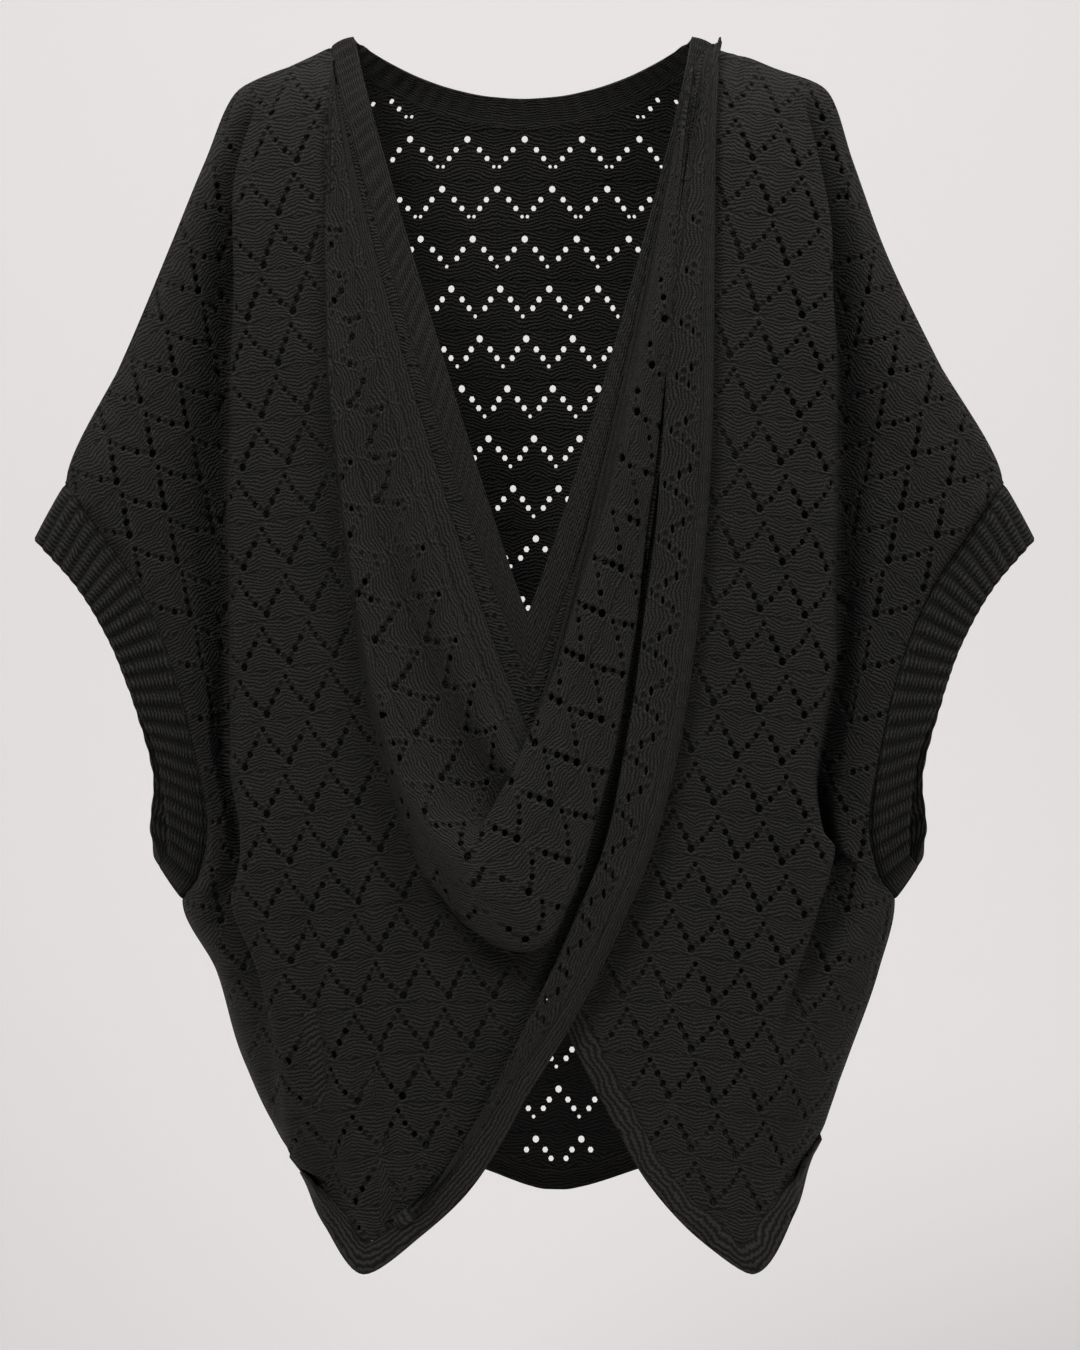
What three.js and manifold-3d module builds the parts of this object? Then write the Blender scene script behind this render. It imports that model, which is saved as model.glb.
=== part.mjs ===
// A knitted poncho sweater: two lace fronts that criss-cross over one lace back,
// with ribbed cuffs and knitted edge bands. It keeps the hollow form of being worn.
// Millimetres, +Z up, the front faces -Y. The origin lies between the neck points.
import * as THREE from 'three';
import { mergeVertices } from 'three/addons/utils/BufferGeometryUtils.js';
import Module from 'manifold-3d';

const wasm = await Module();
wasm.setup();

// Cloth and seams
const wall = 3;
const seamGap = 0.3;
const half = seamGap / 2;
const neckDraw = 1.2;
const hemBandWidth = 17;
const bandCrown = 0.8;

// Depth of the general figure that the cloth hangs round
const domeRadius = 70;
const sleeveDepth = 50;
const crestX = 213;
const valleyInset = 9;
const sideLoss = { front: 0.25, back: 0.3 };
const frontDepths = [
  { z: 0, depth: 30 }, { z: -40, depth: 75 }, { z: -100, depth: 108 }, { z: -200, depth: 130 },
  { z: -300, depth: 137 }, { z: -600, depth: 130 }, { z: -900, depth: 118 },
];
const backDepths = [
  { z: 0, depth: 45 }, { z: -40, depth: 72 }, { z: -200, depth: 108 }, { z: -400, depth: 104 },
  { z: -600, depth: 95 }, { z: -900, depth: 100 },
];

// The garment's outline from the front, one table for each side, from neck to hem corner.
// turn is the place along a front's edge, in degrees of the sweep from one neck to the other.
const outlines = {
  left: [
    { name: 'neck', turn: 3, x: -147, z: -9 }, { name: 'shoulder', turn: 8, x: -182, z: -25 },
    { name: 'corner', turn: 12, x: -213, z: -39 }, { name: 'arm1', turn: 16, x: -238, z: -92 },
    { name: 'arm2', turn: 21, x: -263, z: -153 }, { name: 'arm3', turn: 27, x: -293, z: -225 },
    { name: 'cuff', turn: 34, x: -339, z: -324 },
    { name: 'underarm', turn: 64, x: -254, z: -626 }, { name: 'side1', turn: 69, x: -229, z: -678 },
    { name: 'side2', turn: 74, x: -213, z: -733 }, { name: 'corner2', turn: 80, x: -176, z: -808 },
  ],
  right: [
    { name: 'neck', turn: 3, x: 133, z: -9 }, { name: 'shoulder', turn: 8, x: 175, z: -24 },
    { name: 'corner', turn: 12, x: 212, z: -39 }, { name: 'arm1', turn: 16, x: 232, z: -92 },
    { name: 'arm2', turn: 21, x: 254, z: -153 }, { name: 'arm3', turn: 27, x: 288, z: -225 },
    { name: 'cuff', turn: 34, x: 341, z: -324 },
    { name: 'underarm', turn: 64, x: 262, z: -626 }, { name: 'side1', turn: 69, x: 250, z: -678 },
    { name: 'side2', turn: 74, x: 228, z: -740 }, { name: 'corner2', turn: 80, x: 208, z: -795 },
  ],
};

// Each cuff, from the top of the armhole to the underarm: the seam to the sleeve,
// and the free edge on the front and on the back.
const cuffRows = [
  { part: 0, seamX: 339, seamZ: -324, frontX: 361, frontZ: -364, backX: 361, backZ: -364 },
  { part: 0.2, seamX: 305, seamZ: -370, frontX: 327, frontZ: -401, backX: 328, backZ: -400 },
  { part: 0.4, seamX: 270, seamZ: -424, frontX: 303, frontZ: -441, backX: 309, backZ: -426 },
  { part: 0.55, seamX: 253, seamZ: -478, frontX: 290, frontZ: -478, backX: 299, backZ: -452 },
  { part: 0.7, seamX: 241, seamZ: -530, frontX: 273, frontZ: -519, backX: 287, backZ: -480 },
  { part: 0.85, seamX: 234, seamZ: -578, frontX: 265, frontZ: -562, backX: 275, backZ: -541 },
  { part: 0.95, seamX: 240, seamZ: -606, frontX: 262, frontZ: -589, backX: 277, backZ: -577 },
  { part: 1, seamX: 254, seamZ: -626, frontX: 270, frontZ: -603, backX: 270, backZ: -603 },
];
const cuffTurns = { from: 34, to: 64 };
const cuffHalfDepth = 48;
const cuffRibs = 52;
const ribHeight = 1.4;

// The neck opening, on the band's free edge and on its seam, each a V of two curved sides
const neckEdge = {
  leftX: -130, rightX: 115, topZ: -1, bottomX: -4, bottomZ: -420, leftBow: 1.06, rightBow: 1.1,
};
const neckSeam = {
  leftX: -147, rightX: 133, topZ: -9, bottomX: -2, bottomZ: -469, leftBow: 1.08, rightBow: 1.12,
};
const backNeck = { dipEdge: 38, dipSeam: 50 };

// The left front's folds, from its neck edge outwards. Each runs from the left neck round
// the cowl to the right neck. The bows are the fullness of its two sides.
const cowlFolds = [
  { name: 'edge', leftX: -147, rightX: 112, bottomX: -2, bottomZ: -503, leftBow: 1.12, rightBow: 1.1 },
  { name: 'seam', leftX: -147, rightX: 112, bottomX: -4, bottomZ: -518, leftBow: 1.22, rightBow: 1.12 },
  { name: 'roll', leftX: -147, rightX: 112, bottomX: -6, bottomZ: -534, leftBow: 1.4, rightBow: 1.14 },
  { name: 'trough', leftX: -147, rightX: 113, bottomX: -16, bottomZ: -555, leftBow: 1.5, rightBow: 1.18 },
  { name: 'ridge', leftX: -147, rightX: 115, bottomX: -45, bottomZ: -585, leftBow: 2, rightBow: 1.3 },
  { name: 'face', leftX: -147, rightX: 116, bottomX: -20, bottomZ: -621, leftBow: 2.2, rightBow: 1.3 },
  { name: 'low', leftX: -146, rightX: 112, bottomX: 1, bottomZ: -657, leftBow: 2.4, rightBow: 1.75 },
];
const cowlCentre = { x: -5, z: -300 };

// How far each fold of the left front stands off the figure, at seven turns of the sweep
const liftTurns = { neck: 3, left: 30, under: 72, bottom: 91, low: 110, right: 140, end: 177 };
const lifts = [
  { name: 'edge', neck: 5.5, left: 6, under: 7, bottom: 8, low: 7, right: 6, end: 10 },
  { name: 'seam', neck: 5.5, left: 10, under: 17, bottom: 21, low: 12, right: 7.5, end: 10 },
  { name: 'roll', neck: 5.5, left: 15, under: 26, bottom: 31, low: 18, right: 10, end: 10 },
  { name: 'trough', neck: 5.5, left: 19, under: 23, bottom: 25, low: 23, right: 14, end: 10 },
  { name: 'ridge', neck: 5.5, left: 28, under: 44, bottom: 50, low: 36, right: 19, end: 10 },
  { name: 'face', neck: 5.5, left: 25, under: 47, bottom: 56, low: 50, right: 29, end: 10 },
  { name: 'low', neck: 5.5, left: 16, under: 34, bottom: 44, low: 38, right: 21, end: 10 },
  { name: 'tuck', neck: 5.5, left: 9, under: 13, bottom: 16, low: 13, right: 10, end: 10 },
  { name: 'under', neck: 5.5, left: 8, under: 11, bottom: 12, low: 9.5, right: 9, end: 10 },
  { name: 'chest1', neck: 5.5, left: 5, under: 7, bottom: 10, low: 9, right: 9, end: 10 },
  { name: 'chest2', neck: 5, left: 2, under: 4, bottom: 8, low: 9, right: 9, end: 10 },
  { name: 'crest', neck: 2, left: 0, under: 2, bottom: 7, low: 9, right: 9, end: 10 },
  { name: 'valley', neck: 1, left: 0, under: 1, bottom: 6, low: 10, right: 10, end: 10 },
  { name: 'arm1', neck: 0, left: 0, under: 0, bottom: 6, low: 28, right: 21, end: 10 },
  { name: 'arm2', neck: 0, left: 0, under: 0, bottom: 5, low: 33, right: 26, end: 10 },
  { name: 'outer', neck: 0, left: 0, under: 0, bottom: 4, low: 31, right: 25, end: 10 },
];
const bandLifts = { name: 'band', neck: 0, left: 0, under: 0, bottom: 4, low: 17, right: 15, end: 10 };
const tuckDepth = [{ turn: 12, mm: 3 }, { turn: 40, mm: 15 }, { turn: 90, mm: 17 }, { turn: 130, mm: 5 }];
const underReach = 3;

// The fronts' lower edges, from the side corner past the tip up to the other neck.
// band is how much of the edge band shows, strip the width of the fold above it.
const hemEdges = {
  left: [
    { name: 'side', turn: 80, x: -168, z: -822, band: 16, strip: 20 },
    { name: 'wrap', turn: 84, x: -146, z: -855, band: 17, strip: 22 },
    { name: 'tip', turn: 88, x: -119, z: -886, band: 23, strip: 30 },
    { name: 'hem1', turn: 93, x: -78, z: -858, band: 17, strip: 26 },
    { name: 'hem2', turn: 98, x: -43, z: -824, band: 17, strip: 27 },
    { name: 'hem3', turn: 103, x: 0, z: -752, band: 14, strip: 28 },
    { name: 'hem4', turn: 108, x: 30, z: -702, band: 12, strip: 33 },
    { name: 'hem5', turn: 115, x: 58, z: -645, band: 11, strip: 35 },
    { name: 'hem6', turn: 124, x: 84, z: -580, band: 11, strip: 36 },
    { name: 'hem7', turn: 133, x: 103, z: -500, band: 11, strip: 37 },
    { name: 'hem8', turn: 143, x: 117, z: -390, band: 10, strip: 33 },
    { name: 'hem9', turn: 153, x: 124, z: -285, band: 9, strip: 31 },
    { name: 'hem10', turn: 163, x: 126, z: -180, band: 9, strip: 27 },
    { name: 'hem11', turn: 171, x: 128, z: -90, band: 8, strip: 20 },
    { name: 'neck', turn: 177, x: 132, z: -12, band: 7, strip: 16 },
  ],
  right: [
    { name: 'side', turn: 80, x: 203, z: -811, band: 16, strip: 20 },
    { name: 'wrap', turn: 84, x: 185, z: -847, band: 17, strip: 22 },
    { name: 'tip', turn: 88, x: 155, z: -887, band: 23, strip: 30 },
    { name: 'hem1', turn: 94, x: 120, z: -863, band: 17, strip: 26 },
    { name: 'hem2', turn: 101, x: 84, z: -826, band: 17, strip: 26 },
    { name: 'hem3', turn: 109, x: 55, z: -775, band: 17, strip: 26 },
    { name: 'hem4', turn: 117, x: 27, z: -721, band: 17, strip: 26 },
    { name: 'hem5', turn: 125, x: -2, z: -657, band: 16, strip: 26 },
    { name: 'hem6', turn: 133, x: -34, z: -549, band: 14, strip: 26 },
    { name: 'hem7', turn: 143, x: -66, z: -433, band: 11, strip: 26 },
    { name: 'hem8', turn: 153, x: -92, z: -318, band: 8, strip: 20 },
    { name: 'hem9', turn: 163, x: -122, z: -200, band: 8, strip: 14 },
    { name: 'hem10', turn: 171, x: -142, z: -98, band: 8, strip: 10 },
    { name: 'neck', turn: 177, x: -153, z: -40, band: 6, strip: 8 },
  ],
};
const backHem = [
  { part: 0, x: -168, z: -822 }, { part: 0.12, x: -120, z: -812 }, { part: 0.35, x: -45, z: -826 },
  { part: 0.52, x: 17, z: -844 }, { part: 0.68, x: 84, z: -826 }, { part: 0.88, x: 155, z: -800 },
  { part: 1, x: 203, z: -811 },
];

// Lace: zigzag rows of eyelets, of which the largest, at each peak, is cut through
const lace = {
  rowPitch: 36, wide: 41, narrow: 34, wideZ: -77, narrowZ: -330, startX: -37, startZ: -77,
};
const eyelet = { across: 5.6, along: 6.4 };
const flatness = 0.12;

// Colours of the yarn, near black and slightly warm
const yarn = { lace: 0x2b2a28, band: 0x242321, rib: 0x262523 };

const mix = (a, b, t) => a + (b - a) * t;
const clamp = (value, low, high) => Math.min(Math.max(value, low), high);
const smooth = (low, high, value) => {
  const t = clamp((value - low) / (high - low), 0, 1);
  return t * t * (3 - 2 * t);
};

// A value read from a table's named column, on a smooth curve through its rows
function read(rows, key, at, column) {
  const last = rows.length - 1;
  const rising = rows[last][key] > rows[0][key] ? 1 : -1;
  let i = 0;
  while (i < last - 1 && (at - rows[i + 1][key]) * rising > 0) i += 1;
  const [a, b] = [rows[i], rows[i + 1]];
  const before = rows[Math.max(i - 1, 0)];
  const after = rows[Math.min(i + 2, last)];
  const span = b[key] - a[key];
  const t = clamp((at - a[key]) / span, 0, 1);
  const slopeA = ((b[column] - before[column]) / (b[key] - before[key])) * span;
  const slopeB = ((after[column] - a[column]) / (after[key] - a[key])) * span;
  const t2 = t * t;
  const t3 = t2 * t;
  return (2 * t3 - 3 * t2 + 1) * a[column] + (t3 - 2 * t2 + t) * slopeA
    + (3 * t2 - 2 * t3) * b[column] + (t3 - t2) * slopeB;
}

// A value on straight lines between a table's rows
function readStraight(rows, key, at, column) {
  let i = 0;
  while (i < rows.length - 2 && at > rows[i + 1][key]) i += 1;
  const t = clamp((at - rows[i][key]) / (rows[i + 1][key] - rows[i][key]), 0, 1);
  return mix(rows[i][column], rows[i + 1][column], t);
}

// The armhole seam on a smooth curve, at a part of its height from the top to the underarm
function armholeCurve(side, face, part) {
  const sign = side === 'left' ? -1 : 1;
  const out = face === 'front' ? -1 : 1;
  const stretch = side === 'left' ? 0 : mix(2, 8, part);
  const bulge = cuffHalfDepth * Math.sqrt(Math.max(1 - (2 * part - 1) ** 2, 0));
  return new THREE.Vector3(
    sign * (read(cuffRows, 'part', part, 'seamX') + stretch), out * bulge,
    read(cuffRows, 'part', part, 'seamZ'),
  );
}

// The armhole seam's normal, which the panels and the cuff that meet there share
function armholeTurn(side, face, part) {
  const step = 0.02;
  const low = clamp(part - step, 0, 1);
  const high = clamp(part + step, 0, 1);
  const along = armholeCurve(side, face, high).sub(armholeCurve(side, face, low));
  if (part === 0 || part === 1) along.y = (face === 'front' ? -1 : 1) * (part === 0 ? 1 : -1) * 1e3;
  const across = new THREE.Vector3(
    (side === 'left' ? -1 : 1) * read(cuffRows, 'part', part, 'frontX') - armholeCurve(side, face, part).x,
    0, read(cuffRows, 'part', part, 'frontZ') - read(cuffRows, 'part', part, 'seamZ'),
  );
  const normal = along.cross(across).normalize();
  const outward = new THREE.Vector3(0, face === 'front' ? -1 : 1, part < 0.5 ? 0.3 : -0.3);
  return normal.dot(outward) < 0 ? normal.negate() : normal;
}

// The seam that is sewn: straight between the stations that panels and cuff share
const armholeRibs = [0, 2, 9, 17, 26, 35, 43, 50, 52];
const armholeParts = armholeRibs.map((rib) => rib / cuffRibs);
function armholeSeam(side, face, part) {
  let k = 0;
  while (k < armholeParts.length - 2 && part > armholeParts[k + 1]) k += 1;
  const [low, high] = [armholeParts[k], armholeParts[k + 1]];
  const t = (part - low) / (high - low);
  return {
    point: armholeCurve(side, face, low).lerp(armholeCurve(side, face, high), t),
    normal: armholeTurn(side, face, low).lerp(armholeTurn(side, face, high), t),
  };
}

const armholePart = (turn) => (turn - cuffTurns.from) / (cuffTurns.to - cuffTurns.from);

// The outline of one side at a turn: shoulder, arm, armhole seam and side
function outlineAt(side, turn) {
  if (turn > cuffTurns.from && turn < cuffTurns.to) {
    const { point } = armholeSeam(side, 'back', armholePart(turn));
    return point;
  }
  const rows = outlines[side];
  const ends = turn <= cuffTurns.from
    ? rows.filter((row) => row.turn <= cuffTurns.from)
    : rows.filter((row) => row.turn >= cuffTurns.to);
  return {
    x: readStraight(ends, 'turn', turn, 'x'), z: readStraight(ends, 'turn', turn, 'z'), y: 0,
  };
}

// Distance on the front view from a point to the ridges where front and back meet
function ridgeDistance(side, x, z) {
  const rows = outlines[side];
  const sign = side === 'left' ? -1 : 1;
  const split = rows.findIndex((row) => row.name === 'underarm');
  const arm = [...rows.slice(0, split), { x: sign * cuffRows[0].frontX, z: cuffRows[0].frontZ }];
  const hem = hemEdges[side][0];
  const flank = [...rows.slice(split), hem];
  let best = Infinity;
  for (const line of [arm, flank]) {
    for (let i = 0; i + 1 < line.length; i += 1) {
      const [a, b] = [line[i], line[i + 1]];
      const [dx, dz] = [b.x - a.x, b.z - a.z];
      const t = clamp(((x - a.x) * dx + (z - a.z) * dz) / (dx * dx + dz * dz), 0, 1);
      best = Math.min(best, Math.hypot(x - a.x - t * dx, z - a.z - t * dz));
    }
  }
  return best;
}

// Depth of the figure on the front or back; armShare is 1 outside the crest fold
function figureDepth(face, x, z, armShare) {
  const side = x < -7 ? 'left' : 'right';
  const table = face === 'front' ? frontDepths : backDepths;
  const across = Math.min(Math.abs(x) / crestX, 1.15);
  const body = read(table, 'z', z, 'depth') * (1 - sideLoss[face] * across * across);
  const near = clamp(ridgeDistance(side, x, z) / domeRadius, 0, 1);
  const dome = Math.sqrt(1 - (1 - near) ** 2);
  return mix(body, sleeveDepth, armShare) * dome;
}

// The figure's own normal at a place
function figureNormal(face, x, z, armShare = 0) {
  const step = 3;
  const steepest = 3;
  const depth = figureDepth(face, x, z, armShare);
  const slopeX = (figureDepth(face, x + step, z, armShare) - depth) / step;
  const slopeZ = (figureDepth(face, x, z + step, armShare) - depth) / step;
  return new THREE.Vector3(
    -clamp(slopeX, -steepest, steepest), face === 'front' ? -1 : 1,
    -clamp(slopeZ, -steepest, steepest),
  ).normalize();
}

// The neck seam's normal, which turns upright where it crosses a shoulder
const upright = new THREE.Vector3(0, 0, 1);
function neckNormal(point) {
  const own = figureNormal(point.y < 0 ? 'front' : 'back', point.x, point.z);
  return upright.clone().lerp(own, smooth(0, 45, Math.abs(point.y))).normalize();
}

// A point of the cloth: on the figure, then moved out along the figure's own normal
function clothPoint(face, x, z, armShare, lift) {
  const out = face === 'front' ? -1 : 1;
  const depth = Math.max(figureDepth(face, x, z, armShare), seamGap / 2);
  const point = new THREE.Vector3(x, out * depth, z);
  return lift === 0 ? point : point.addScaledVector(figureNormal(face, x, z, armShare), lift);
}

// How much a place outside the crest fold follows the sleeve's shallower depth
const armShareAt = (z) => smooth(-39, -200, z) * (1 - smooth(-560, -690, z));

// A cloth is a grid of outer points with its normals. Its outer side is row direction x
// column direction, or the reverse when flip is set; set(i, j) gives a seam's shared normal.
function makeCloth(grid, { flip = false, ring = false, set = () => null }) {
  const rows = grid.length;
  const cols = grid[0].length;
  const row = (i) => (ring ? (i + rows) % rows : clamp(i, 0, rows - 1));
  const normals = grid.map((line, i) => line.map((_, j) => {
    const shared = set(i, j);
    if (shared) return shared;
    const along = grid[row(i + 1)][j].clone().sub(grid[row(i - 1)][j]);
    const across = line[Math.min(j + 1, cols - 1)].clone().sub(line[Math.max(j - 1, 0)]);
    const normal = along.cross(across).normalize();
    return flip ? normal.negate() : normal;
  }));
  return { grid, normals, flip, ring };
}

// A piece cut from a cloth: a closed wall over some of its rows and columns, drawn back by
// the distance that seams gives for an edge, and kept on its side of the garment's middle
function cutPiece(cloth, { rows = null, cols = null, seams = {}, sideY = 0 }) {
  const { grid, normals, flip, ring } = cloth;
  const [rowFrom, rowTo] = rows ?? [0, grid.length - 1];
  const [colFrom, colTo] = cols ?? [0, grid[0].length - 1];
  const height = rowTo - rowFrom + 1;
  const width = colTo - colFrom + 1;
  const spot = (i, j) => {
    const from = grid[rowFrom + i][colFrom + j];
    const point = from.clone();
    const inward = [
      ['top', i === 0, 1, 0], ['bottom', i === height - 1, -1, 0],
      ['first', j === 0, 0, 1], ['last', j === width - 1, 0, -1],
    ];
    for (const [name, here, down, along] of inward) {
      if (here && seams[name]) {
        const inner = grid[rowFrom + i + down][colFrom + j + along].clone().sub(from);
        point.addScaledVector(inner.normalize(), seams[name]);
      }
    }
    return point;
  };
  const positions = [];
  for (const depth of [0, wall]) {
    for (let i = 0; i < height; i += 1) {
      for (let j = 0; j < width; j += 1) {
        const point = spot(i, j).addScaledVector(normals[rowFrom + i][colFrom + j], -depth);
        if (sideY !== 0) point.y = sideY * Math.max(sideY * point.y, seamGap / 2);
        positions.push(point.x, point.y, point.z);
      }
    }
  }
  const index = [];
  const quad = (a, b, c, d) => index.push(...(flip ? [a, c, b, a, d, c] : [a, b, c, a, c, d]));
  const at = (i, j) => (i % height) * width + j;
  const inner = height * width;
  for (let i = 0; i < (ring ? height : height - 1); i += 1) {
    for (let j = 0; j + 1 < width; j += 1) {
      quad(at(i, j), at(i + 1, j), at(i + 1, j + 1), at(i, j + 1));
      quad(inner + at(i, j), inner + at(i, j + 1), inner + at(i + 1, j + 1), inner + at(i + 1, j));
    }
    const end = width - 1;
    quad(at(i, 0), inner + at(i, 0), inner + at(i + 1, 0), at(i + 1, 0));
    quad(at(i, end), at(i + 1, end), inner + at(i + 1, end), inner + at(i, end));
  }
  for (let j = 0; !ring && j + 1 < width; j += 1) {
    const end = height - 1;
    quad(at(0, j), at(0, j + 1), inner + at(0, j + 1), inner + at(0, j));
    quad(at(end, j), inner + at(end, j), inner + at(end, j + 1), at(end, j + 1));
  }
  const geometry = new THREE.BufferGeometry();
  geometry.setAttribute('position', new THREE.Float32BufferAttribute(positions, 3));
  geometry.setIndex(index);
  return geometry;
}

// Where a point of the front view meets a grid of cloth, with the cloth's normal there
function onCloth(grid, x, z, from, to) {
  for (let i = 0; i + 1 < grid.length; i += 1) {
    for (let j = from; j < to; j += 1) {
      const corners = [grid[i][j], grid[i + 1][j], grid[i + 1][j + 1], grid[i][j + 1]];
      for (const [a, b, c] of [[0, 1, 2], [0, 2, 3]].map((set) => set.map((k) => corners[k]))) {
        const area = (b.x - a.x) * (c.z - a.z) - (c.x - a.x) * (b.z - a.z);
        const v = ((x - a.x) * (c.z - a.z) - (c.x - a.x) * (z - a.z)) / area;
        const w = ((b.x - a.x) * (z - a.z) - (x - a.x) * (b.z - a.z)) / area;
        if (v >= 0 && w >= 0 && v + w <= 1) {
          const point = a.clone().multiplyScalar(1 - v - w).addScaledVector(b, v).addScaledVector(c, w);
          const normal = b.clone().sub(a).cross(c.clone().sub(a)).normalize();
          return { point, normal };
        }
      }
    }
  }
  return null;
}

// The peaks of the zigzag lace rows inside a box of the front view
function lacePeaks(xMin, xMax, zMin, zMax) {
  const peaks = [];
  const rows = Math.floor((lace.startZ - zMin) / lace.rowPitch);
  for (let row = 0; row <= rows; row += 1) {
    const z = lace.startZ - row * lace.rowPitch;
    const pitch = mix(lace.wide, lace.narrow, smooth(lace.wideZ, lace.narrowZ, z));
    const shift = row % 2 === 0 ? 0 : 0.5;
    const first = Math.ceil((xMin - lace.startX) / pitch - shift);
    for (let k = first; lace.startX + (k + shift) * pitch < xMax; k += 1) {
      if (z < zMax) peaks.push({ x: lace.startX + (k + shift) * pitch, z });
    }
  }
  return peaks;
}

// Four-sided plugs through the wall, one closed body for each eyelet
function eyeletPlugs(spots) {
  const positions = [];
  const index = [];
  const up = new THREE.Vector3(0, 0, 1);
  for (const { point, normal } of spots) {
    const side = new THREE.Vector3().crossVectors(up, normal).normalize();
    const along = new THREE.Vector3().crossVectors(normal, side);
    const sign = normal.dot(new THREE.Vector3(0, point.y, 0)) > 0 ? 1 : -1;
    const base = positions.length / 3;
    for (const depth of [wall / 2, -1.5 * wall]) {
      for (const [u, v] of [[1, 0], [0, 1], [-1, 0], [0, -1]]) {
        const corner = point.clone().addScaledVector(normal, sign * depth)
          .addScaledVector(side, (u * eyelet.across) / 2)
          .addScaledVector(along, (v * eyelet.along) / 2);
        positions.push(corner.x, corner.y, corner.z);
      }
    }
    const faces = [
      [0, 1, 2, 3], [7, 6, 5, 4], [0, 4, 5, 1], [1, 5, 6, 2], [2, 6, 7, 3], [3, 7, 4, 0],
    ];
    for (const [a, b, c, d] of faces) {
      const set = sign > 0 ? [a, b, c, a, c, d] : [a, c, b, a, d, c];
      index.push(...set.map((k) => base + k));
    }
  }
  const geometry = new THREE.BufferGeometry();
  geometry.setAttribute('position', new THREE.Float32BufferAttribute(positions, 3));
  geometry.setIndex(index);
  return geometry;
}

function toManifold(geometry) {
  const clean = mergeVertices(geometry, 1e-4);
  return new wasm.Manifold(new wasm.Mesh({
    numProp: 3,
    vertProperties: new Float32Array(clean.attributes.position.array),
    triVerts: new Uint32Array(clean.index.array),
  }));
}

function fromManifold(solid) {
  const mesh = solid.getMesh();
  const geometry = new THREE.BufferGeometry();
  geometry.setAttribute('position', new THREE.Float32BufferAttribute(mesh.vertProperties, 3));
  geometry.setIndex(Array.from(mesh.triVerts));
  return geometry;
}

const cutEyelets = (geometry, spots) => fromManifold(
  toManifold(geometry).subtract(toManifold(eyeletPlugs(spots))).simplify(flatness),
);

// One point of a U-shaped fold line at a turn from 0 at the left neck to 180 at the right
function foldPoint(fold, turn, topZ) {
  const down = Math.sin(THREE.MathUtils.degToRad(turn)) ** 0.9;
  const left = turn < 90;
  const bow = left ? fold.leftBow : fold.rightBow;
  const reach = (left ? fold.leftX : fold.rightX) - fold.bottomX;
  return {
    x: fold.bottomX + reach * Math.max(1 - down ** bow, 0) ** (1 / bow),
    z: mix(topZ, fold.bottomZ, down),
  };
}

// The lower edge of a front at a turn, with its seam to the panel inside the edge band
function hemAt(side, turn) {
  const rows = hemEdges[side];
  const spot = (at) => ({ x: read(rows, 'turn', at, 'x'), z: read(rows, 'turn', at, 'z') });
  const edge = spot(turn);
  const before = spot(Math.max(turn - 1, rows[0].turn));
  const after = spot(Math.min(turn + 1, rows[rows.length - 1].turn));
  const length = Math.hypot(after.x - before.x, after.z - before.z);
  const sign = side === 'left' ? 1 : -1;
  const inward = {
    x: (-sign * (after.z - before.z)) / length, z: (sign * (after.x - before.x)) / length,
  };
  const band = read(rows, 'turn', turn, 'band');
  return {
    edge, seam: { x: edge.x + inward.x * band, z: edge.z + inward.z * band },
    strip: read(rows, 'turn', turn, 'strip'),
  };
}

// The outer boundary of a front panel: its outline, then the seam of its lower edge band
function panelEdge(side, turn) {
  const first = hemEdges[side][0].turn;
  return turn <= first ? outlineAt(side, turn) : hemAt(side, turn).seam;
}

const ridgeTurns = [3, 5, 8, 12, 16, 21, 27];
const armholeTurns = armholeParts.map((part) => mix(cuffTurns.from, cuffTurns.to, part));
const sideTurns = [69, 74, 80];
const hemTurns = [84, 88, 93, 98, 103, 108, 115, 124, 133, 143, 153, 162, 168, 171, 174, 177];
const frontTurns = [...ridgeTurns, ...armholeTurns, ...sideTurns, ...hemTurns];
const hemStart = frontTurns.indexOf(80);
const gathered = {
  left: [{ x: -143, z: -46 }, { x: -151, z: -11 }],
  right: [{ x: 108, z: -44 }, { x: 125, z: -14 }],
};

// Blends a fold line's place towards the short gathered line at either shoulder
function gather(turn, share, place) {
  const ends = turn < 90 ? gathered.left : gathered.right;
  const free = smooth(2, 14, turn < 90 ? turn : 180 - turn);
  return {
    x: mix(mix(ends[0].x, ends[1].x, share), place.x, free),
    z: mix(mix(ends[0].z, ends[1].z, share), place.z, free),
  };
}

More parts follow.
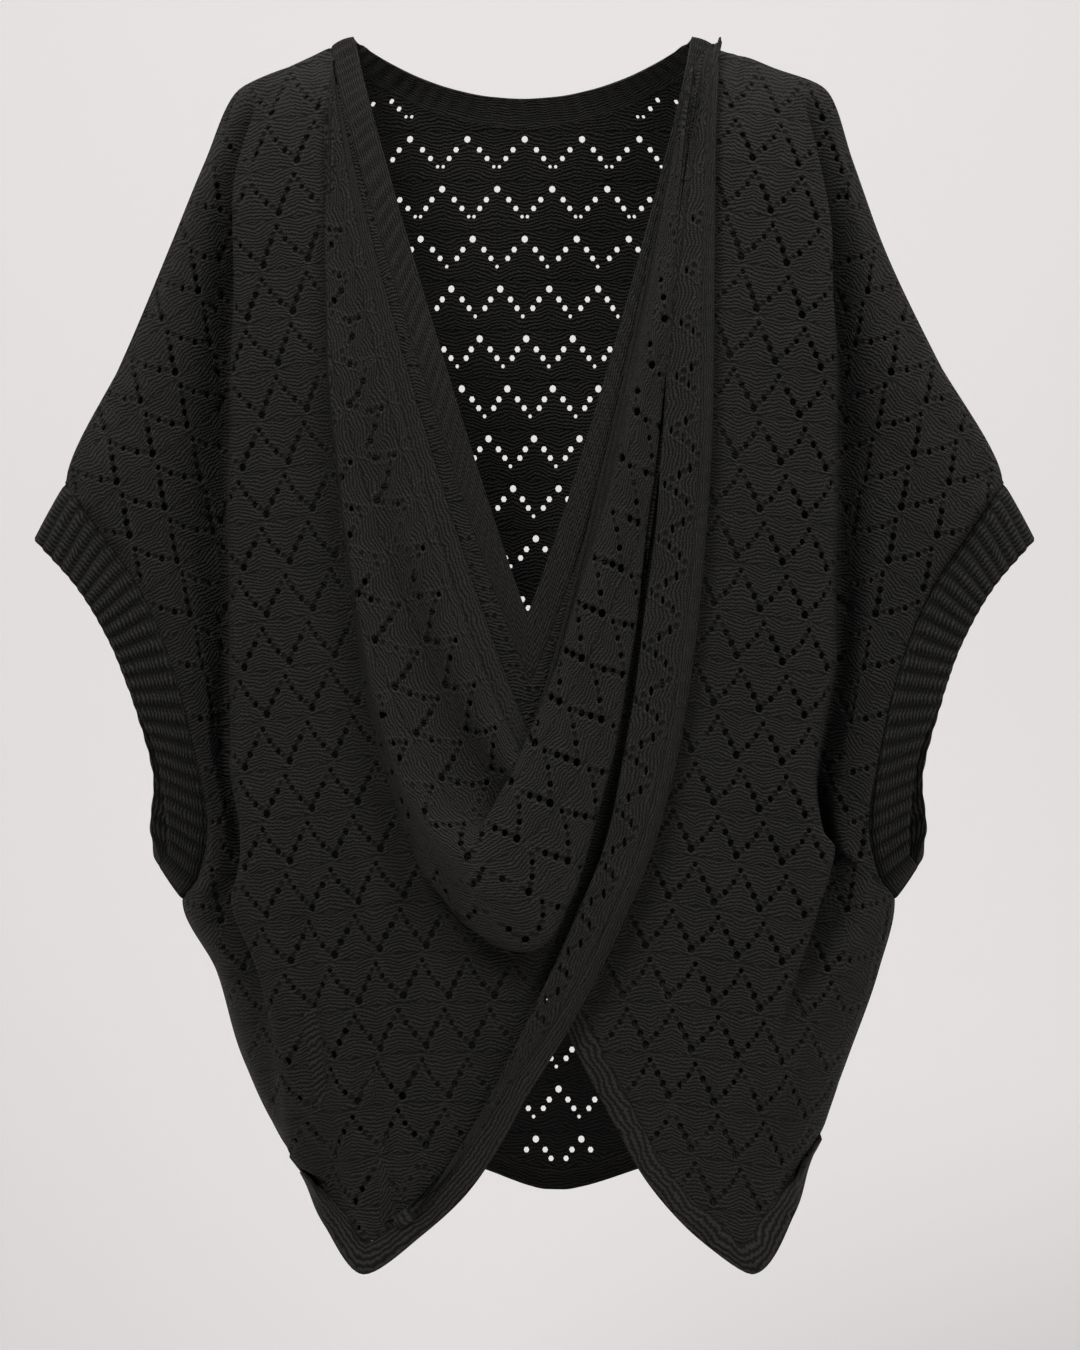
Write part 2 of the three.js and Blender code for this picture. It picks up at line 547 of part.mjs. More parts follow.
// Places along a front panel's row: the free part between its inner line and its edge
function outerPlaces(side, turn, start, names) {
  const edge = panelEdge(side, turn);
  const sign = side === 'left' ? -1 : 1;
  const reach = sign * (edge.x - start.x);
  const length = Math.hypot(edge.x - start.x, edge.z - start.z);
  const crest = clamp((crestX - sign * start.x) / Math.max(reach, 1), 0.3, 0.8);
  const valley = Math.min(crest + valleyInset / length, 0.86);
  const plain = {
    chest1: crest * 0.35, chest2: crest * 0.7, crest, valley,
    arm1: mix(valley, 1, 0.4), arm2: mix(valley, 1, 0.75), outer: 1, near: mix(valley, 1, 0.93),
  };
  const hemShare = smooth(84, 98, turn);
  const hem = hemShare > 0 ? hemAt(side, turn) : null;
  return names.map((name) => {
    const place = {
      x: mix(start.x, edge.x, plain[name]), z: mix(start.z, edge.z, plain[name]),
    };
    if (!hem || side === 'right') return place;
    const fold = { x: hem.edge.x - hem.strip, z: hem.edge.z };
    const strip = {
      chest1: { x: mix(start.x, fold.x, 0.3), z: mix(start.z, fold.z, 0.3) },
      chest2: { x: mix(start.x, fold.x, 0.6), z: mix(start.z, fold.z, 0.6) },
      crest: { x: mix(start.x, fold.x, 0.85) + 1, z: mix(start.z, fold.z, 0.85) },
      valley: { x: fold.x + 3, z: fold.z },
      arm1: fold,
      arm2: { x: mix(fold.x, edge.x, 0.35), z: mix(fold.z, edge.z, 0.35) },
      near: { x: mix(fold.x, edge.x, 0.7), z: mix(fold.z, edge.z, 0.7) },
      outer: edge,
    }[name];
    return { x: mix(place.x, strip.x, hemShare), z: mix(place.z, strip.z, hemShare) };
  });
}

const liftAt = (row, turn) => {
  const table = Object.keys(liftTurns).map((key) => ({ turn: liftTurns[key], lift: row[key] }));
  return readStraight(table, 'turn', turn, 'lift');
};

// Left front: one lace panel that falls from the left shoulder, hangs in the cowl's rolls,
// turns under them and crosses to the right shoulder as a folded strip. Its neckline band
// is the first stretch of the row, and its lower edge band the last.
const armNames = ['valley', 'arm1', 'arm2', 'outer'];
const leftStart = 3.8;
const foldNames = lifts.map((row) => row.name);
function leftFrontRow(turn) {
  const cowl = cowlFolds.map((fold) => foldPoint(fold, turn, -9));
  const low = cowl[cowl.length - 1];
  const away = Math.hypot(cowlCentre.x - low.x, cowlCentre.z - low.z);
  const inward = { x: (cowlCentre.x - low.x) / away, z: (cowlCentre.z - low.z) / away };
  const tuck = readStraight(tuckDepth, 'turn', turn, 'mm');
  cowl.push({ x: low.x + inward.x * tuck, z: low.z + inward.z * tuck });
  cowl.push({ x: low.x - inward.x * underReach, z: low.z - inward.z * underReach });
  const places = [...cowl, ...outerPlaces('left', turn, cowl[cowl.length - 1], foldNames.slice(9))];
  const row = places.map((place, j) => {
    const free = gather(turn, j / (places.length - 1), place);
    const arm = turn < 90 && armNames.includes(foldNames[j]) ? armShareAt(free.z) : 0;
    if (foldNames[j] === 'outer' && turn <= 80) return edgePoint('left', Math.max(turn, leftStart));
    return clothPoint('front', free.x, free.z, arm, liftAt(lifts[j], turn));
  });
  const bandMiddle = row[0].clone().lerp(row[1], 0.5);
  return [row[0], bandMiddle, ...row.slice(1), ...hemBandPoints('left', turn, row)];
}

// The outline's own point: on the middle plane at the ridges, out from it at the armhole
function edgePoint(side, turn) {
  const edge = outlineAt(side, turn);
  return new THREE.Vector3(edge.x, -Math.max(edge.y, seamGap / 2), edge.z);
}

// The two outer points of a lower edge band; above the side corner the row just ends
function hemBandPoints(side, turn, row) {
  const last = row[row.length - 1];
  if (turn < hemEdges[side][0].turn) {
    const beyond = last.clone().sub(row[row.length - 2]);
    return [0.1, 0.2].map((share) => last.clone().addScaledVector(beyond, share));
  }
  const hem = hemAt(side, turn);
  const left = side === 'left';
  const seamLift = left ? liftAt(lifts[lifts.length - 1], turn) : 0;
  const edgeLift = left ? liftAt(bandLifts, turn) : 0;
  return [0.5, 1].map((share) => clothPoint(
    'front', mix(hem.seam.x, hem.edge.x, share), mix(hem.seam.z, hem.edge.z, share), 0,
    mix(seamLift, edgeLift, share) + (share === 0.5 ? bandCrown : 0),
  ));
}

const armholeNormalAt = (side, face, turn) => {
  if (turn < cuffTurns.from || turn > cuffTurns.to) return null;
  return armholeSeam(side, face, armholePart(turn)).normal;
};
const leftGrid = frontTurns.map(leftFrontRow);
const leftColumns = { seam: 2, outer: foldNames.length, last: foldNames.length + 2 };
const leftCloth = makeCloth(leftGrid, {
  flip: true,
  set: (i, j) => (j === leftColumns.outer ? armholeNormalAt('left', 'front', frontTurns[i]) : null),
});

// Right front: one lace panel under the left front, from the V neck's seam to its outline,
// with its lower edge band the last stretch of the row
const rightNames = ['chest1', 'chest2', 'crest', 'valley', 'arm1', 'arm2', 'near', 'outer'];
const neckEndTurns = rightNames.map((_, j) => (ridgeTurns[0] * j) / rightNames.length);
const swapped = (fold) => ({
  ...fold, leftX: fold.rightX, rightX: fold.leftX, leftBow: fold.rightBow, rightBow: fold.leftBow,
});
function rightFrontRow(turn) {
  const onSeam = (at) => foldPoint(swapped(neckSeam), at, neckSeam.topZ);
  const inner = onSeam(turn);
  const along = turn === ridgeTurns[0]
    ? [...neckEndTurns].reverse().map(onSeam)
    : outerPlaces('right', turn, inner, rightNames);
  const row = [inner, ...along].map((place, j) => {
    if (place.z === neckSeam.topZ) return new THREE.Vector3(place.x, -seamGap / 2, place.z);
    const name = j === 0 ? 'inner' : rightNames[j - 1];
    const arm = turn < 90 && [...armNames, 'near'].includes(name) ? armShareAt(place.z) : 0;
    if (name === 'outer' && turn <= 80) return edgePoint('right', turn);
    return clothPoint('front', place.x, place.z, arm, 0);
  });
  return [...row, ...hemBandPoints('right', turn, row)];
}
const rightGrid = frontTurns.map(rightFrontRow);
const rightColumns = { outer: rightNames.length, last: rightNames.length + 2 };
const rightCloth = makeCloth(rightGrid, {
  set: (i, j) => {
    if (j === 0 || (i === 0 && j <= rightColumns.outer)) return neckNormal(rightGrid[i][j]);
    return j === rightColumns.outer ? armholeNormalAt('right', 'front', frontTurns[i]) : null;
  },
});

// A point of the back neck: part runs from the left neck to the right, share from edge to seam
function backNeckPlace(part, share) {
  const across = 2 * part - 1;
  const leftX = mix(neckEdge.leftX, neckSeam.leftX, share);
  const rightX = mix(neckEdge.rightX, neckSeam.rightX, share);
  const topZ = mix(neckEdge.topZ, neckSeam.topZ, share);
  const dip = (1 - across * across) * mix(backNeck.dipEdge, backNeck.dipSeam, share);
  return { x: mix(leftX, rightX, part), z: topZ - dip };
}

// Neck band: one ring down both sides of the V and round the back neck, mitred at the V
const backNeckParts = [0.01, 0.04, 0.1, 0.2, 0.3, 0.4, 0.5, 0.6, 0.7, 0.8, 0.9, 0.96, 0.99];
const neckTurns = [
  ...neckEndTurns, ...frontTurns.map((turn) => 180 - turn).reverse(),
  ...[...neckEndTurns].reverse().map((turn) => 180 - turn),
];
const neckShares = [0, 1];
const neckGrid = neckTurns.map((turn) => {
  const edge = foldPoint(neckEdge, turn, neckEdge.topZ);
  const seam = foldPoint(neckSeam, turn, neckSeam.topZ);
  return neckShares.map((share) => {
    const place = { x: mix(edge.x, seam.x, share), z: mix(edge.z, seam.z, share) };
    if (turn === 0 || turn === 180) return new THREE.Vector3(place.x, 0, place.z);
    return clothPoint('front', place.x, place.z, 0, 0);
  });
});
[...backNeckParts].reverse().forEach((part) => {
  neckGrid.push(neckShares.map((share) => {
    const place = backNeckPlace(part, share);
    return clothPoint('back', place.x, place.z, 0, 0);
  }));
});
const neckCloth = makeCloth(neckGrid, {
  ring: true, flip: true,
  set: (i, j) => (j === neckShares.length - 1 ? neckNormal(neckGrid[i][j]) : null),
});

// Back panel: one lace piece, laid out as a patch between its four edges, with its lower
// edge band the last stretch of each column
const topStations = [
  ...[...ridgeTurns, cuffTurns.from].reverse().map((turn) => ({ side: 'left', turn })),
  ...backNeckParts.map((part) => ({ part })),
  ...[...ridgeTurns, cuffTurns.from].map((turn) => ({ side: 'right', turn })),
];
const backCols = topStations.length - 1;
const backTurns = [...armholeTurns, ...sideTurns];
const backParts = backTurns.map((turn) => (turn - cuffTurns.from) / (80 - cuffTurns.from));
function backTop({ side, turn, part }) {
  if (side) return outlineAt(side, turn);
  const { x, z } = backNeckPlace(part, 1);
  return { x, z: z - neckDraw };
}
function backBottom(u, share) {
  const part = 0.02 + 0.96 * u;
  const edge = { x: read(backHem, 'part', part, 'x'), z: read(backHem, 'part', part, 'z') };
  const seam = { x: edge.x, z: edge.z + hemBandWidth };
  return { x: mix(seam.x, edge.x, share), z: mix(seam.z, edge.z, share) };
}
function backPlace(k, v) {
  const u = k / backCols;
  const turn = mix(cuffTurns.from, 80, v);
  const [left, right] = [outlineAt('left', turn), outlineAt('right', turn)];
  if (k === 0) return left;
  if (k === backCols) return right;
  const [top, bottom] = [backTop(topStations[k]), backBottom(u, 0)];
  const corners = [
    backTop(topStations[0]), backTop(topStations[backCols]), outlineAt('left', 80), outlineAt('right', 80),
  ];
  const patch = (key) => {
    const [a, b, c, d] = corners.map((corner) => corner[key]);
    return mix(top[key], bottom[key], v) + mix(left[key], right[key], u)
      - mix(mix(a, b, u), mix(c, d, u), v);
  };
  return { x: patch('x'), z: patch('z') };
}
function backPoint(k, v) {
  const place = backPlace(k, v);
  if (k === 0 || k === backCols) {
    return new THREE.Vector3(place.x, Math.max(place.y, seamGap / 2), place.z);
  }
  const arm = smooth(190, 240, Math.abs(place.x)) * armShareAt(place.z);
  const station = topStations[k];
  if (v === 0 && station.side) return new THREE.Vector3(place.x, seamGap / 2, place.z);
  return clothPoint('back', place.x, place.z, arm, 0);
}
const backGrid = backParts.map((v) => topStations.map((_, k) => backPoint(k, v)));
for (const share of [0.5, 1]) {
  backGrid.push(topStations.map((_, k) => {
    const u = k / backCols;
    if (k > 0 && k < backCols) {
      const place = backBottom(u, share);
      return clothPoint('back', place.x, place.z, 0, share === 0.5 ? bandCrown : 0);
    }
    const [seam, hem] = [outlineAt(k === 0 ? 'left' : 'right', 80), hemEdges[k === 0 ? 'left' : 'right'][0]];
    return new THREE.Vector3(mix(seam.x, hem.x, share), seamGap / 2, mix(seam.z, hem.z, share));
  }));
}
const backRows = { seam: backParts.length - 1, last: backParts.length + 1 };
const backCloth = makeCloth(backGrid, {
  flip: true,
  set: (i, j) => {
    const { side, turn } = topStations[j];
    if (i === 0 && (!side || turn === ridgeTurns[0])) return neckNormal(backGrid[i][j]);
    if (j !== 0 && j !== backCols) return null;
    return i <= backRows.seam ? armholeNormalAt(j === 0 ? 'left' : 'right', 'back', backTurns[i]) : null;
  },
});

// Cuff: a ribbed ring round the armhole, its ribs raised on the outside only
const cuffShares = [0, 1];
function cuffCloth(side) {
  const count = cuffRibs * 2;
  const stations = Array.from({ length: count }, (_, k) => {
    const round = (2 * k) / count;
    const face = round <= 1 ? 'front' : 'back';
    return { face, part: round <= 1 ? round : 2 - round, rib: k % 2 === 0 ? ribHeight : 0 };
  });
  const seams = stations.map(({ face, part }) => armholeSeam(side, face, part));
  const grid = stations.map(({ face, part, rib }, i) => {
    const { point, normal } = seams[i];
    const stretch = side === 'left' ? 0 : mix(2, 8, part);
    const end = new THREE.Vector3(
      (side === 'left' ? -1 : 1) * (read(cuffRows, 'part', part, `${face}X`) + stretch),
      point.y * 0.94, read(cuffRows, 'part', part, `${face}Z`),
    );
    return cuffShares.map((share) => (
      point.clone().lerp(end, share).addScaledVector(normal, share === 0 ? 0 : rib)
    ));
  });
  return makeCloth(grid, {
    ring: true, flip: side === 'left',
    set: (i, j) => {
      const plain = stations[i].rib === 0 || j === 0 ? 1 : (wall + stations[i].rib) / wall;
      return seams[i].normal.clone().multiplyScalar(plain);
    },
  });
}

// Eyelets that are cut through each panel, clear of the ridges where front and back meet
const backRidgeClear = 28;
const frontRidgeClear = 22;
const spotsOn = (grid, from, to, box, keep) => lacePeaks(box.left, box.right, box.low, box.high)
  .filter(keep)
  .map(({ x, z }) => onCloth(grid, x, z, from, to))
  .filter(Boolean);
const backSpots = spotsOn(
  backGrid.slice(0, backRows.last), 1, backCols - 1, { left: -140, right: 150, low: -800, high: -70 },
  ({ x, z }) => ridgeDistance(x < 0 ? 'left' : 'right', x, z) > backRidgeClear,
);
const leftSpots = spotsOn(
  leftGrid, 9, 12, { left: -205, right: 20, low: -830, high: -80 },
  ({ x, z }) => ridgeDistance('left', x, z) > frontRidgeClear,
);
const rightSpots = spotsOn(
  rightGrid, 0, 3, { left: 60, right: 205, low: -850, high: -60 },
  ({ x, z }) => ridgeDistance('right', x, z) > frontRidgeClear
    && x > mix(140, 66, smooth(-420, -720, z)),
);

const group = new THREE.Group();
function addPiece(name, color, geometry) {
  const material = new THREE.MeshStandardMaterial({ color, roughness: 0.95, metalness: 0 });
  const mesh = new THREE.Mesh(geometry, material);
  mesh.name = name;
  group.add(mesh);
}

const lastTurn = frontTurns.length - 1;
addPiece('back_panel', yarn.lace, cutEyelets(
  cutPiece(backCloth, {
    rows: [0, backRows.seam], seams: { top: half, bottom: half, first: half, last: half }, sideY: 1,
  }),
  backSpots,
));
addPiece('back_hem_band', yarn.band, cutPiece(
  backCloth, { rows: [backRows.seam, backRows.last], seams: { top: half }, sideY: 1 },
));
addPiece('right_front', yarn.lace, cutEyelets(
  cutPiece(rightCloth, {
    cols: [0, rightColumns.outer], seams: { top: half, first: half, last: half }, sideY: -1,
  }),
  rightSpots,
));
addPiece('right_hem_band', yarn.band, cutPiece(rightCloth, {
  rows: [hemStart, lastTurn], cols: [rightColumns.outer, rightColumns.last],
  seams: { first: half }, sideY: -1,
}));
addPiece('left_front', yarn.lace, cutEyelets(
  cutPiece(leftCloth, {
    cols: [leftColumns.seam, leftColumns.outer], seams: { first: half, last: half }, sideY: -1,
  }),
  leftSpots,
));
addPiece('left_hem_band', yarn.band, cutPiece(leftCloth, {
  rows: [hemStart, lastTurn], cols: [leftColumns.outer, leftColumns.last], seams: { first: half }, sideY: -1,
}));
addPiece('cowl_band', yarn.band, cutPiece(
  leftCloth, { cols: [0, leftColumns.seam], seams: { last: half }, sideY: -1 },
));
addPiece('neck_band', yarn.band, cutPiece(neckCloth, { seams: { last: half } }));
addPiece('left_cuff', yarn.rib, cutPiece(cuffCloth('left'), { seams: { first: half } }));
addPiece('right_cuff', yarn.rib, cutPiece(cuffCloth('right'), { seams: { first: half } }));

export default group;
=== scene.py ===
"""A knitted poncho sweater in the form that it has when worn: two lace fronts that criss-cross
over one lace back, with ribbed cuffs and knitted edge bands, all in near-black yarn.
Tables are in millimetres and meshes in metres, +Z up. The front faces -Y."""

import math

import bpy
import numpy as np
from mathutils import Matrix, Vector
from mathutils.geometry import delaunay_2d_cdt
from mathutils.kdtree import KDTree


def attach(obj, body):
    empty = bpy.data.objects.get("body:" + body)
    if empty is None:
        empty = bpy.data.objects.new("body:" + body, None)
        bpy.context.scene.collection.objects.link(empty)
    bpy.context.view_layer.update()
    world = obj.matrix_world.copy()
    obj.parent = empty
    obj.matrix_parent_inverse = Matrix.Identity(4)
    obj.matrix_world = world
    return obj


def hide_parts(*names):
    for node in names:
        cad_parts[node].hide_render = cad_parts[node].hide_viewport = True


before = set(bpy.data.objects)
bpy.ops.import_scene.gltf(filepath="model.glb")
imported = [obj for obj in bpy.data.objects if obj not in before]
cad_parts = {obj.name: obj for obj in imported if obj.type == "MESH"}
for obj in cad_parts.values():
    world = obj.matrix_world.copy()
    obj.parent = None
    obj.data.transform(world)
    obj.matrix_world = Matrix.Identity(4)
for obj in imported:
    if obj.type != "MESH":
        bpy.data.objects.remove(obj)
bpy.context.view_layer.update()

# Back panel
# One piece of lace knit from cuff to cuff, shaped at the neck and rounded at the tail. It is
# knitted flat in zigzag rows of eyelets, and sewn to the fronts along shoulders and sides.
MM = 0.001
SEAM_HALF = 0.15
WALL = 2.6
PANEL_STITCH = 4.8
SHOULDER_CREST = 213.0
DOME = 70.0
SLEEVE_DEPTH = 50.0
HEM_BAND = 17.0
BAND_CROWN = 0.8
SIDE_LOSS = {"front": 0.25, "back": 0.3}
depths = {
    "front": {"z": [0, -40, -100, -200, -300, -600, -900], "depth": [30, 75, 108, 130, 137, 130, 118]},
    "back": {"z": [0, -40, -200, -400, -600, -900], "depth": [45, 72, 108, 104, 95, 100]},
}
outline_turns = [3, 8, 12, 16, 21, 27, 34, 64, 69, 74, 80]
outlines = {
    "left": {
        "x": [-147, -182, -213, -238, -263, -293, -339, -254, -229, -213, -176],
        "z": [-9, -25, -39, -92, -153, -225, -324, -626, -678, -733, -808],
    },
    "right": {
        "x": [133, 175, 212, 232, 254, 288, 341, 262, 250, 228, 208],
        "z": [-9, -24, -39, -92, -153, -225, -324, -626, -678, -740, -795],
    },
}
side_hems = {"left": (-168, -822), "right": (203, -811)}
CUFF_TOP, CUFF_END = 34, 64
CUFF_HALF_DEPTH = 48.0
CUFF_RIBS = 52
cuff_rows = {
    "part": [0, 0.2, 0.4, 0.55, 0.7, 0.85, 0.95, 1],
    "seam_x": [339, 305, 270, 253, 241, 234, 240, 254],
    "seam_z": [-324, -370, -424, -478, -530, -578, -606, -626],
    "front_x": [361, 327, 303, 288, 271, 264, 263, 270],
    "front_z": [-364, -401, -441, -478, -519, -562, -589, -603],
    "back_x": [361, 328, 310, 303, 293, 277, 278, 270],
    "back_z": [-364, -400, -426, -452, -480, -536, -577, -603],
}
armhole_parts = [rib / CUFF_RIBS for rib in (0, 2, 9, 17, 26, 35, 43, 50, 52)]
ridge_turns = [3, 5, 8, 12, 16, 21, 27]
armhole_turns = [CUFF_TOP + (CUFF_END - CUFF_TOP) * part for part in armhole_parts]
side_turns = [69, 74, 80]
neck_edge = dict(left=-130, right=115, top=-1, bottom_x=-4, bottom_z=-420, left_bow=1.06, right_bow=1.1)
neck_seam = dict(left=-147, right=133, top=-9, bottom_x=-2, bottom_z=-469, left_bow=1.08, right_bow=1.12)
BACK_NECK_DIP = (38, 50)
NECK_DRAW = 0.0
back_neck_parts = [0.01, 0.04, 0.1, 0.2, 0.3, 0.4, 0.5, 0.6, 0.7, 0.8, 0.9, 0.96, 0.99]
back_hem = {
    "part": [0, 0.12, 0.35, 0.52, 0.68, 0.88, 1],
    "x": [-168, -120, -45, 17, 84, 155, 203],
    "z": [-822, -812, -826, -844, -826, -800, -811],
}


def mix(a, b, t):
    return a + (b - a) * t


def smooth(low, high, value):
    t = np.clip((value - low) / (high - low), 0, 1)
    return t * t * (3 - 2 * t)


def read(table, key, at, column):
    """A value on a smooth curve through two named columns of a table."""
    k = np.asarray(table[key], float)
    v = np.asarray(table[column], float)
    if k[-1] < k[0]:
        k, v = k[::-1], v[::-1]
    m = np.empty_like(v)
    m[1:-1] = (v[2:] - v[:-2]) / (k[2:] - k[:-2])
    m[0] = (v[1] - v[0]) / (k[1] - k[0])
    m[-1] = (v[-1] - v[-2]) / (k[-1] - k[-2])
    at = np.clip(at, k[0], k[-1])
    i = np.clip(np.searchsorted(k, at, side="right") - 1, 0, len(k) - 2)
    h = k[i + 1] - k[i]
    t = (at - k[i]) / h
    return ((1 + 2 * t) * (1 - t) ** 2 * v[i] + t * (1 - t) ** 2 * h * m[i]
            + t * t * (3 - 2 * t) * v[i + 1] - t * t * (1 - t) * h * m[i + 1])


def armhole_point(side, face, part):
    stretch = 0 if side == "left" else mix(2, 8, part)
    bulge = CUFF_HALF_DEPTH * math.sqrt(max(1 - (2 * part - 1) ** 2, 0))
    x = read(cuff_rows, "part", part, "seam_x") + stretch
    return np.array([
        -x if side == "left" else x, -bulge if face == "front" else bulge,
        read(cuff_rows, "part", part, "seam_z"),
    ])


def outline_at(side, turn):
    """A point of the garment's outline, with its depth at the armhole on the back."""
    if CUFF_TOP < turn < CUFF_END:
        return armhole_point(side, "back", (turn - CUFF_TOP) / (CUFF_END - CUFF_TOP))
    rows = outlines[side]
    return np.array([
        np.interp(turn, outline_turns, rows["x"]), 0, np.interp(turn, outline_turns, rows["z"]),
    ])


def ridge_distance(side, x, z):
    """Distance on the front view to the ridges where front and back meet."""
    rows = list(zip(outlines[side]["x"], outlines[side]["z"]))
    sign = -1 if side == "left" else 1
    arm = rows[:7] + [(sign * cuff_rows["front_x"][0], cuff_rows["front_z"][0])]
    best = 1e9
    for line in (arm, rows[7:] + [side_hems[side]]):
        for (ax, az), (bx, bz) in zip(line, line[1:]):
            dx, dz = bx - ax, bz - az
            t = min(max(((x - ax) * dx + (z - az) * dz) / (dx * dx + dz * dz), 0), 1)
            best = min(best, math.hypot(x - ax - t * dx, z - az - t * dz))
    return best


def figure_depth(face, x, z, arm=0.0):
    side = "left" if x < -7 else "right"
    across = min(abs(x) / SHOULDER_CREST, 1.15)
    body = read(depths[face], "z", z, "depth") * (1 - SIDE_LOSS[face] * across * across)
    near = min(ridge_distance(side, x, z) / DOME, 1)
    return mix(body, SLEEVE_DEPTH, arm) * math.sqrt(1 - (1 - near) ** 2)


def figure_normal(face, x, z, arm=0.0):
    step, steepest = 3, 3
    depth = figure_depth(face, x, z, arm)
    slope_x = (figure_depth(face, x + step, z, arm) - depth) / step
    slope_z = (figure_depth(face, x, z + step, arm) - depth) / step
    normal = np.array([
        -min(max(slope_x, -steepest), steepest), -1 if face == "front" else 1,
        -min(max(slope_z, -steepest), steepest),
    ])
    return normal / np.linalg.norm(normal)


def cloth_point(face, x, z, arm=0.0, lift=0.0):
    """A point on the figure, moved out along the figure's own normal."""
    depth = max(figure_depth(face, x, z, arm), SEAM_HALF)
    point = np.array([x, -depth if face == "front" else depth, z], float)
    return point if lift == 0 else point + figure_normal(face, x, z, arm) * lift


def arm_share(z):
    return float(smooth(-39, -200, z) * (1 - smooth(-560, -690, z)))


def slopes(values, at):
    """Slopes for a smooth curve through values that never swings past them."""
    h = np.diff(at)[:, None, None]
    d = np.diff(values, axis=0) / h
    m = np.zeros_like(values)
    m[0], m[-1] = d[0], d[-1]
    w1, w2 = 2 * h[1:] + h[:-1], h[1:] + 2 * h[:-1]
    same = d[:-1] * d[1:] > 1e-12
    safe1, safe2 = np.where(same, d[:-1], 1), np.where(same, d[1:], 1)
    m[1:-1] = np.where(same, (w1 + w2) / (w1 / safe1 + w2 / safe2), 0)
    return m


def make_cloth(grid, flip):
    """A smooth cloth through rows and columns of points, measured in mm down and across."""
    grid = np.array(grid, float)
    down = np.r_[0, np.cumsum(np.linalg.norm(np.diff(grid, axis=0), axis=2).mean(1))]
    across = np.r_[0, np.cumsum(np.linalg.norm(np.diff(grid, axis=1), axis=2).mean(0))]
    along = slopes(grid.swapaxes(0, 1), across).swapaxes(0, 1)
    return {
        "grid": grid, "down": down, "across": across, "flip": flip,
        "down_slope": slopes(grid, down), "across_slope": along, "twist": slopes(along, down),
    }


def lay(cloth, b, a):
    """Points, outward normals and both tangents of a cloth at distances down and across."""
    b, a = np.asarray(b, float), np.asarray(a, float)

    def basis(at, stops):
        i = np.clip(np.searchsorted(stops, at, side="right") - 1, 0, len(stops) - 2)
        h = stops[i + 1] - stops[i]
        t = (at - stops[i]) / h
        value = [(1 + 2 * t) * (1 - t) ** 2, t * t * (3 - 2 * t), h * t * (1 - t) ** 2, -h * t * t * (1 - t)]
        slope = [6 * t * (t - 1) / h, 6 * t * (1 - t) / h, (1 - t) * (1 - 3 * t), t * (3 * t - 2)]
        return i, value, slope

    i, bv, bs = basis(b, cloth["down"])
    j, av, as_ = basis(a, cloth["across"])

    def total(down_part, across_part):
        out = 0
        for p in (0, 1):
            for q in (0, 1):
                at = (i + p, j + q)
                out = out + (down_part[p] * across_part[q])[..., None] * cloth["grid"][at]
                out = out + (down_part[2 + p] * across_part[q])[..., None] * cloth["down_slope"][at]
                out = out + (down_part[p] * across_part[2 + q])[..., None] * cloth["across_slope"][at]
                out = out + (down_part[2 + p] * across_part[2 + q])[..., None] * cloth["twist"][at]
        return out

    down, across = total(bs, av), total(bv, as_)
    normal = np.cross(down, across)
    normal /= np.maximum(np.linalg.norm(normal, axis=-1, keepdims=True), 1e-9)
    return total(bv, av), -normal if cloth["flip"] else normal, down, across


def stations(cloth, axis, first, last, spacing):
    """Evenly spaced lines over a stretch of a cloth's rows (axis 0) or columns (axis 1)."""
    stops = cloth["down"] if axis == 0 else cloth["across"]
    gaps = np.linalg.norm(np.diff(cloth["grid"], axis=axis), axis=2)
    gaps = np.percentile(gaps, 75, axis=1 - axis)
    lines = []
    for i in range(first, last):
        n = max(math.ceil(gaps[i] / spacing), 1)
        lines.extend(mix(stops[i], stops[i + 1], np.arange(n) / n))
    return np.array(lines + [stops[last]])


# The lace. A repeat is one zigzag with eyelets along it, as across, down and size, and each row
# is set off by half a repeat. Its largest eyelets are at the peaks on the back, and at the
# valleys on the fronts. On a sleeve the rows run down and out.
LACE_ROW = 36.0
LACE_START = (-6.0, -77.0)
LACE_WIDE, LACE_WIDTH = 42.0, 32.8
LACE_MIDDLE = 95.0
LACE_SINK = 0.14
SLEEVE_LINE = 226.0
SLEEVE_TURN = math.radians(38)
back_repeat = [(0, 0, 5.2)] + [
    (side * across, down, size) for side in (-1, 1)
    for across, down, size in ((0.205, 0.21, 4.6), (0.335, 0.385, 4.4), (0.45, 0.55, 3.0))
]
front_repeat = [
    (0, 0, 4.2), (0.17, 0.27, 5.0), (0.29, 0.47, 5.2), (0.41, 0.70, 6.0), (0.66, 0.48, 4.9),
    (0.85, 0.25, 4.4),
]
PLAIN_START = (0, 0)
FRONT_START = (0.5, 0.425)
SIGHT = 4425.0
SIGHT_NEAR = -25.0
SIGHT_CENTRE = np.array([5.0, -463.0])


def facing(points):
    """Where points show from straight in front. The lace of both layers is laid out on this
    view, so that the eyelets of one lie over closed rows of the other."""
    share = SIGHT / (SIGHT + points[..., 1] - SIGHT_NEAR)
    return SIGHT_CENTRE + (points[..., [0, 2]] - SIGHT_CENTRE) * share[..., None]


def lace_width(row):
    return mix(LACE_WIDE, LACE_WIDTH, smooth(-1, 5.1, row)), LACE_START[0] + 8 * smooth(3.1, 7, row)


def lace_on_body(place):
    """Repeats across and rows down at places of the view; rows sink a little towards the sides."""
    x, z = place[..., 0], place[..., 1]
    sink = LACE_SINK * np.maximum(np.abs(x) - LACE_MIDDLE, 0)
    row = (LACE_START[1] - z - sink) / LACE_ROW
    width, centre = lace_width(row)
    out = np.abs(x - centre)
    across = np.minimum(out, LACE_MIDDLE) / width + np.maximum(out - LACE_MIDDLE, 0) / LACE_WIDTH
    return np.stack([across * np.sign(x - centre), row], axis=-1)


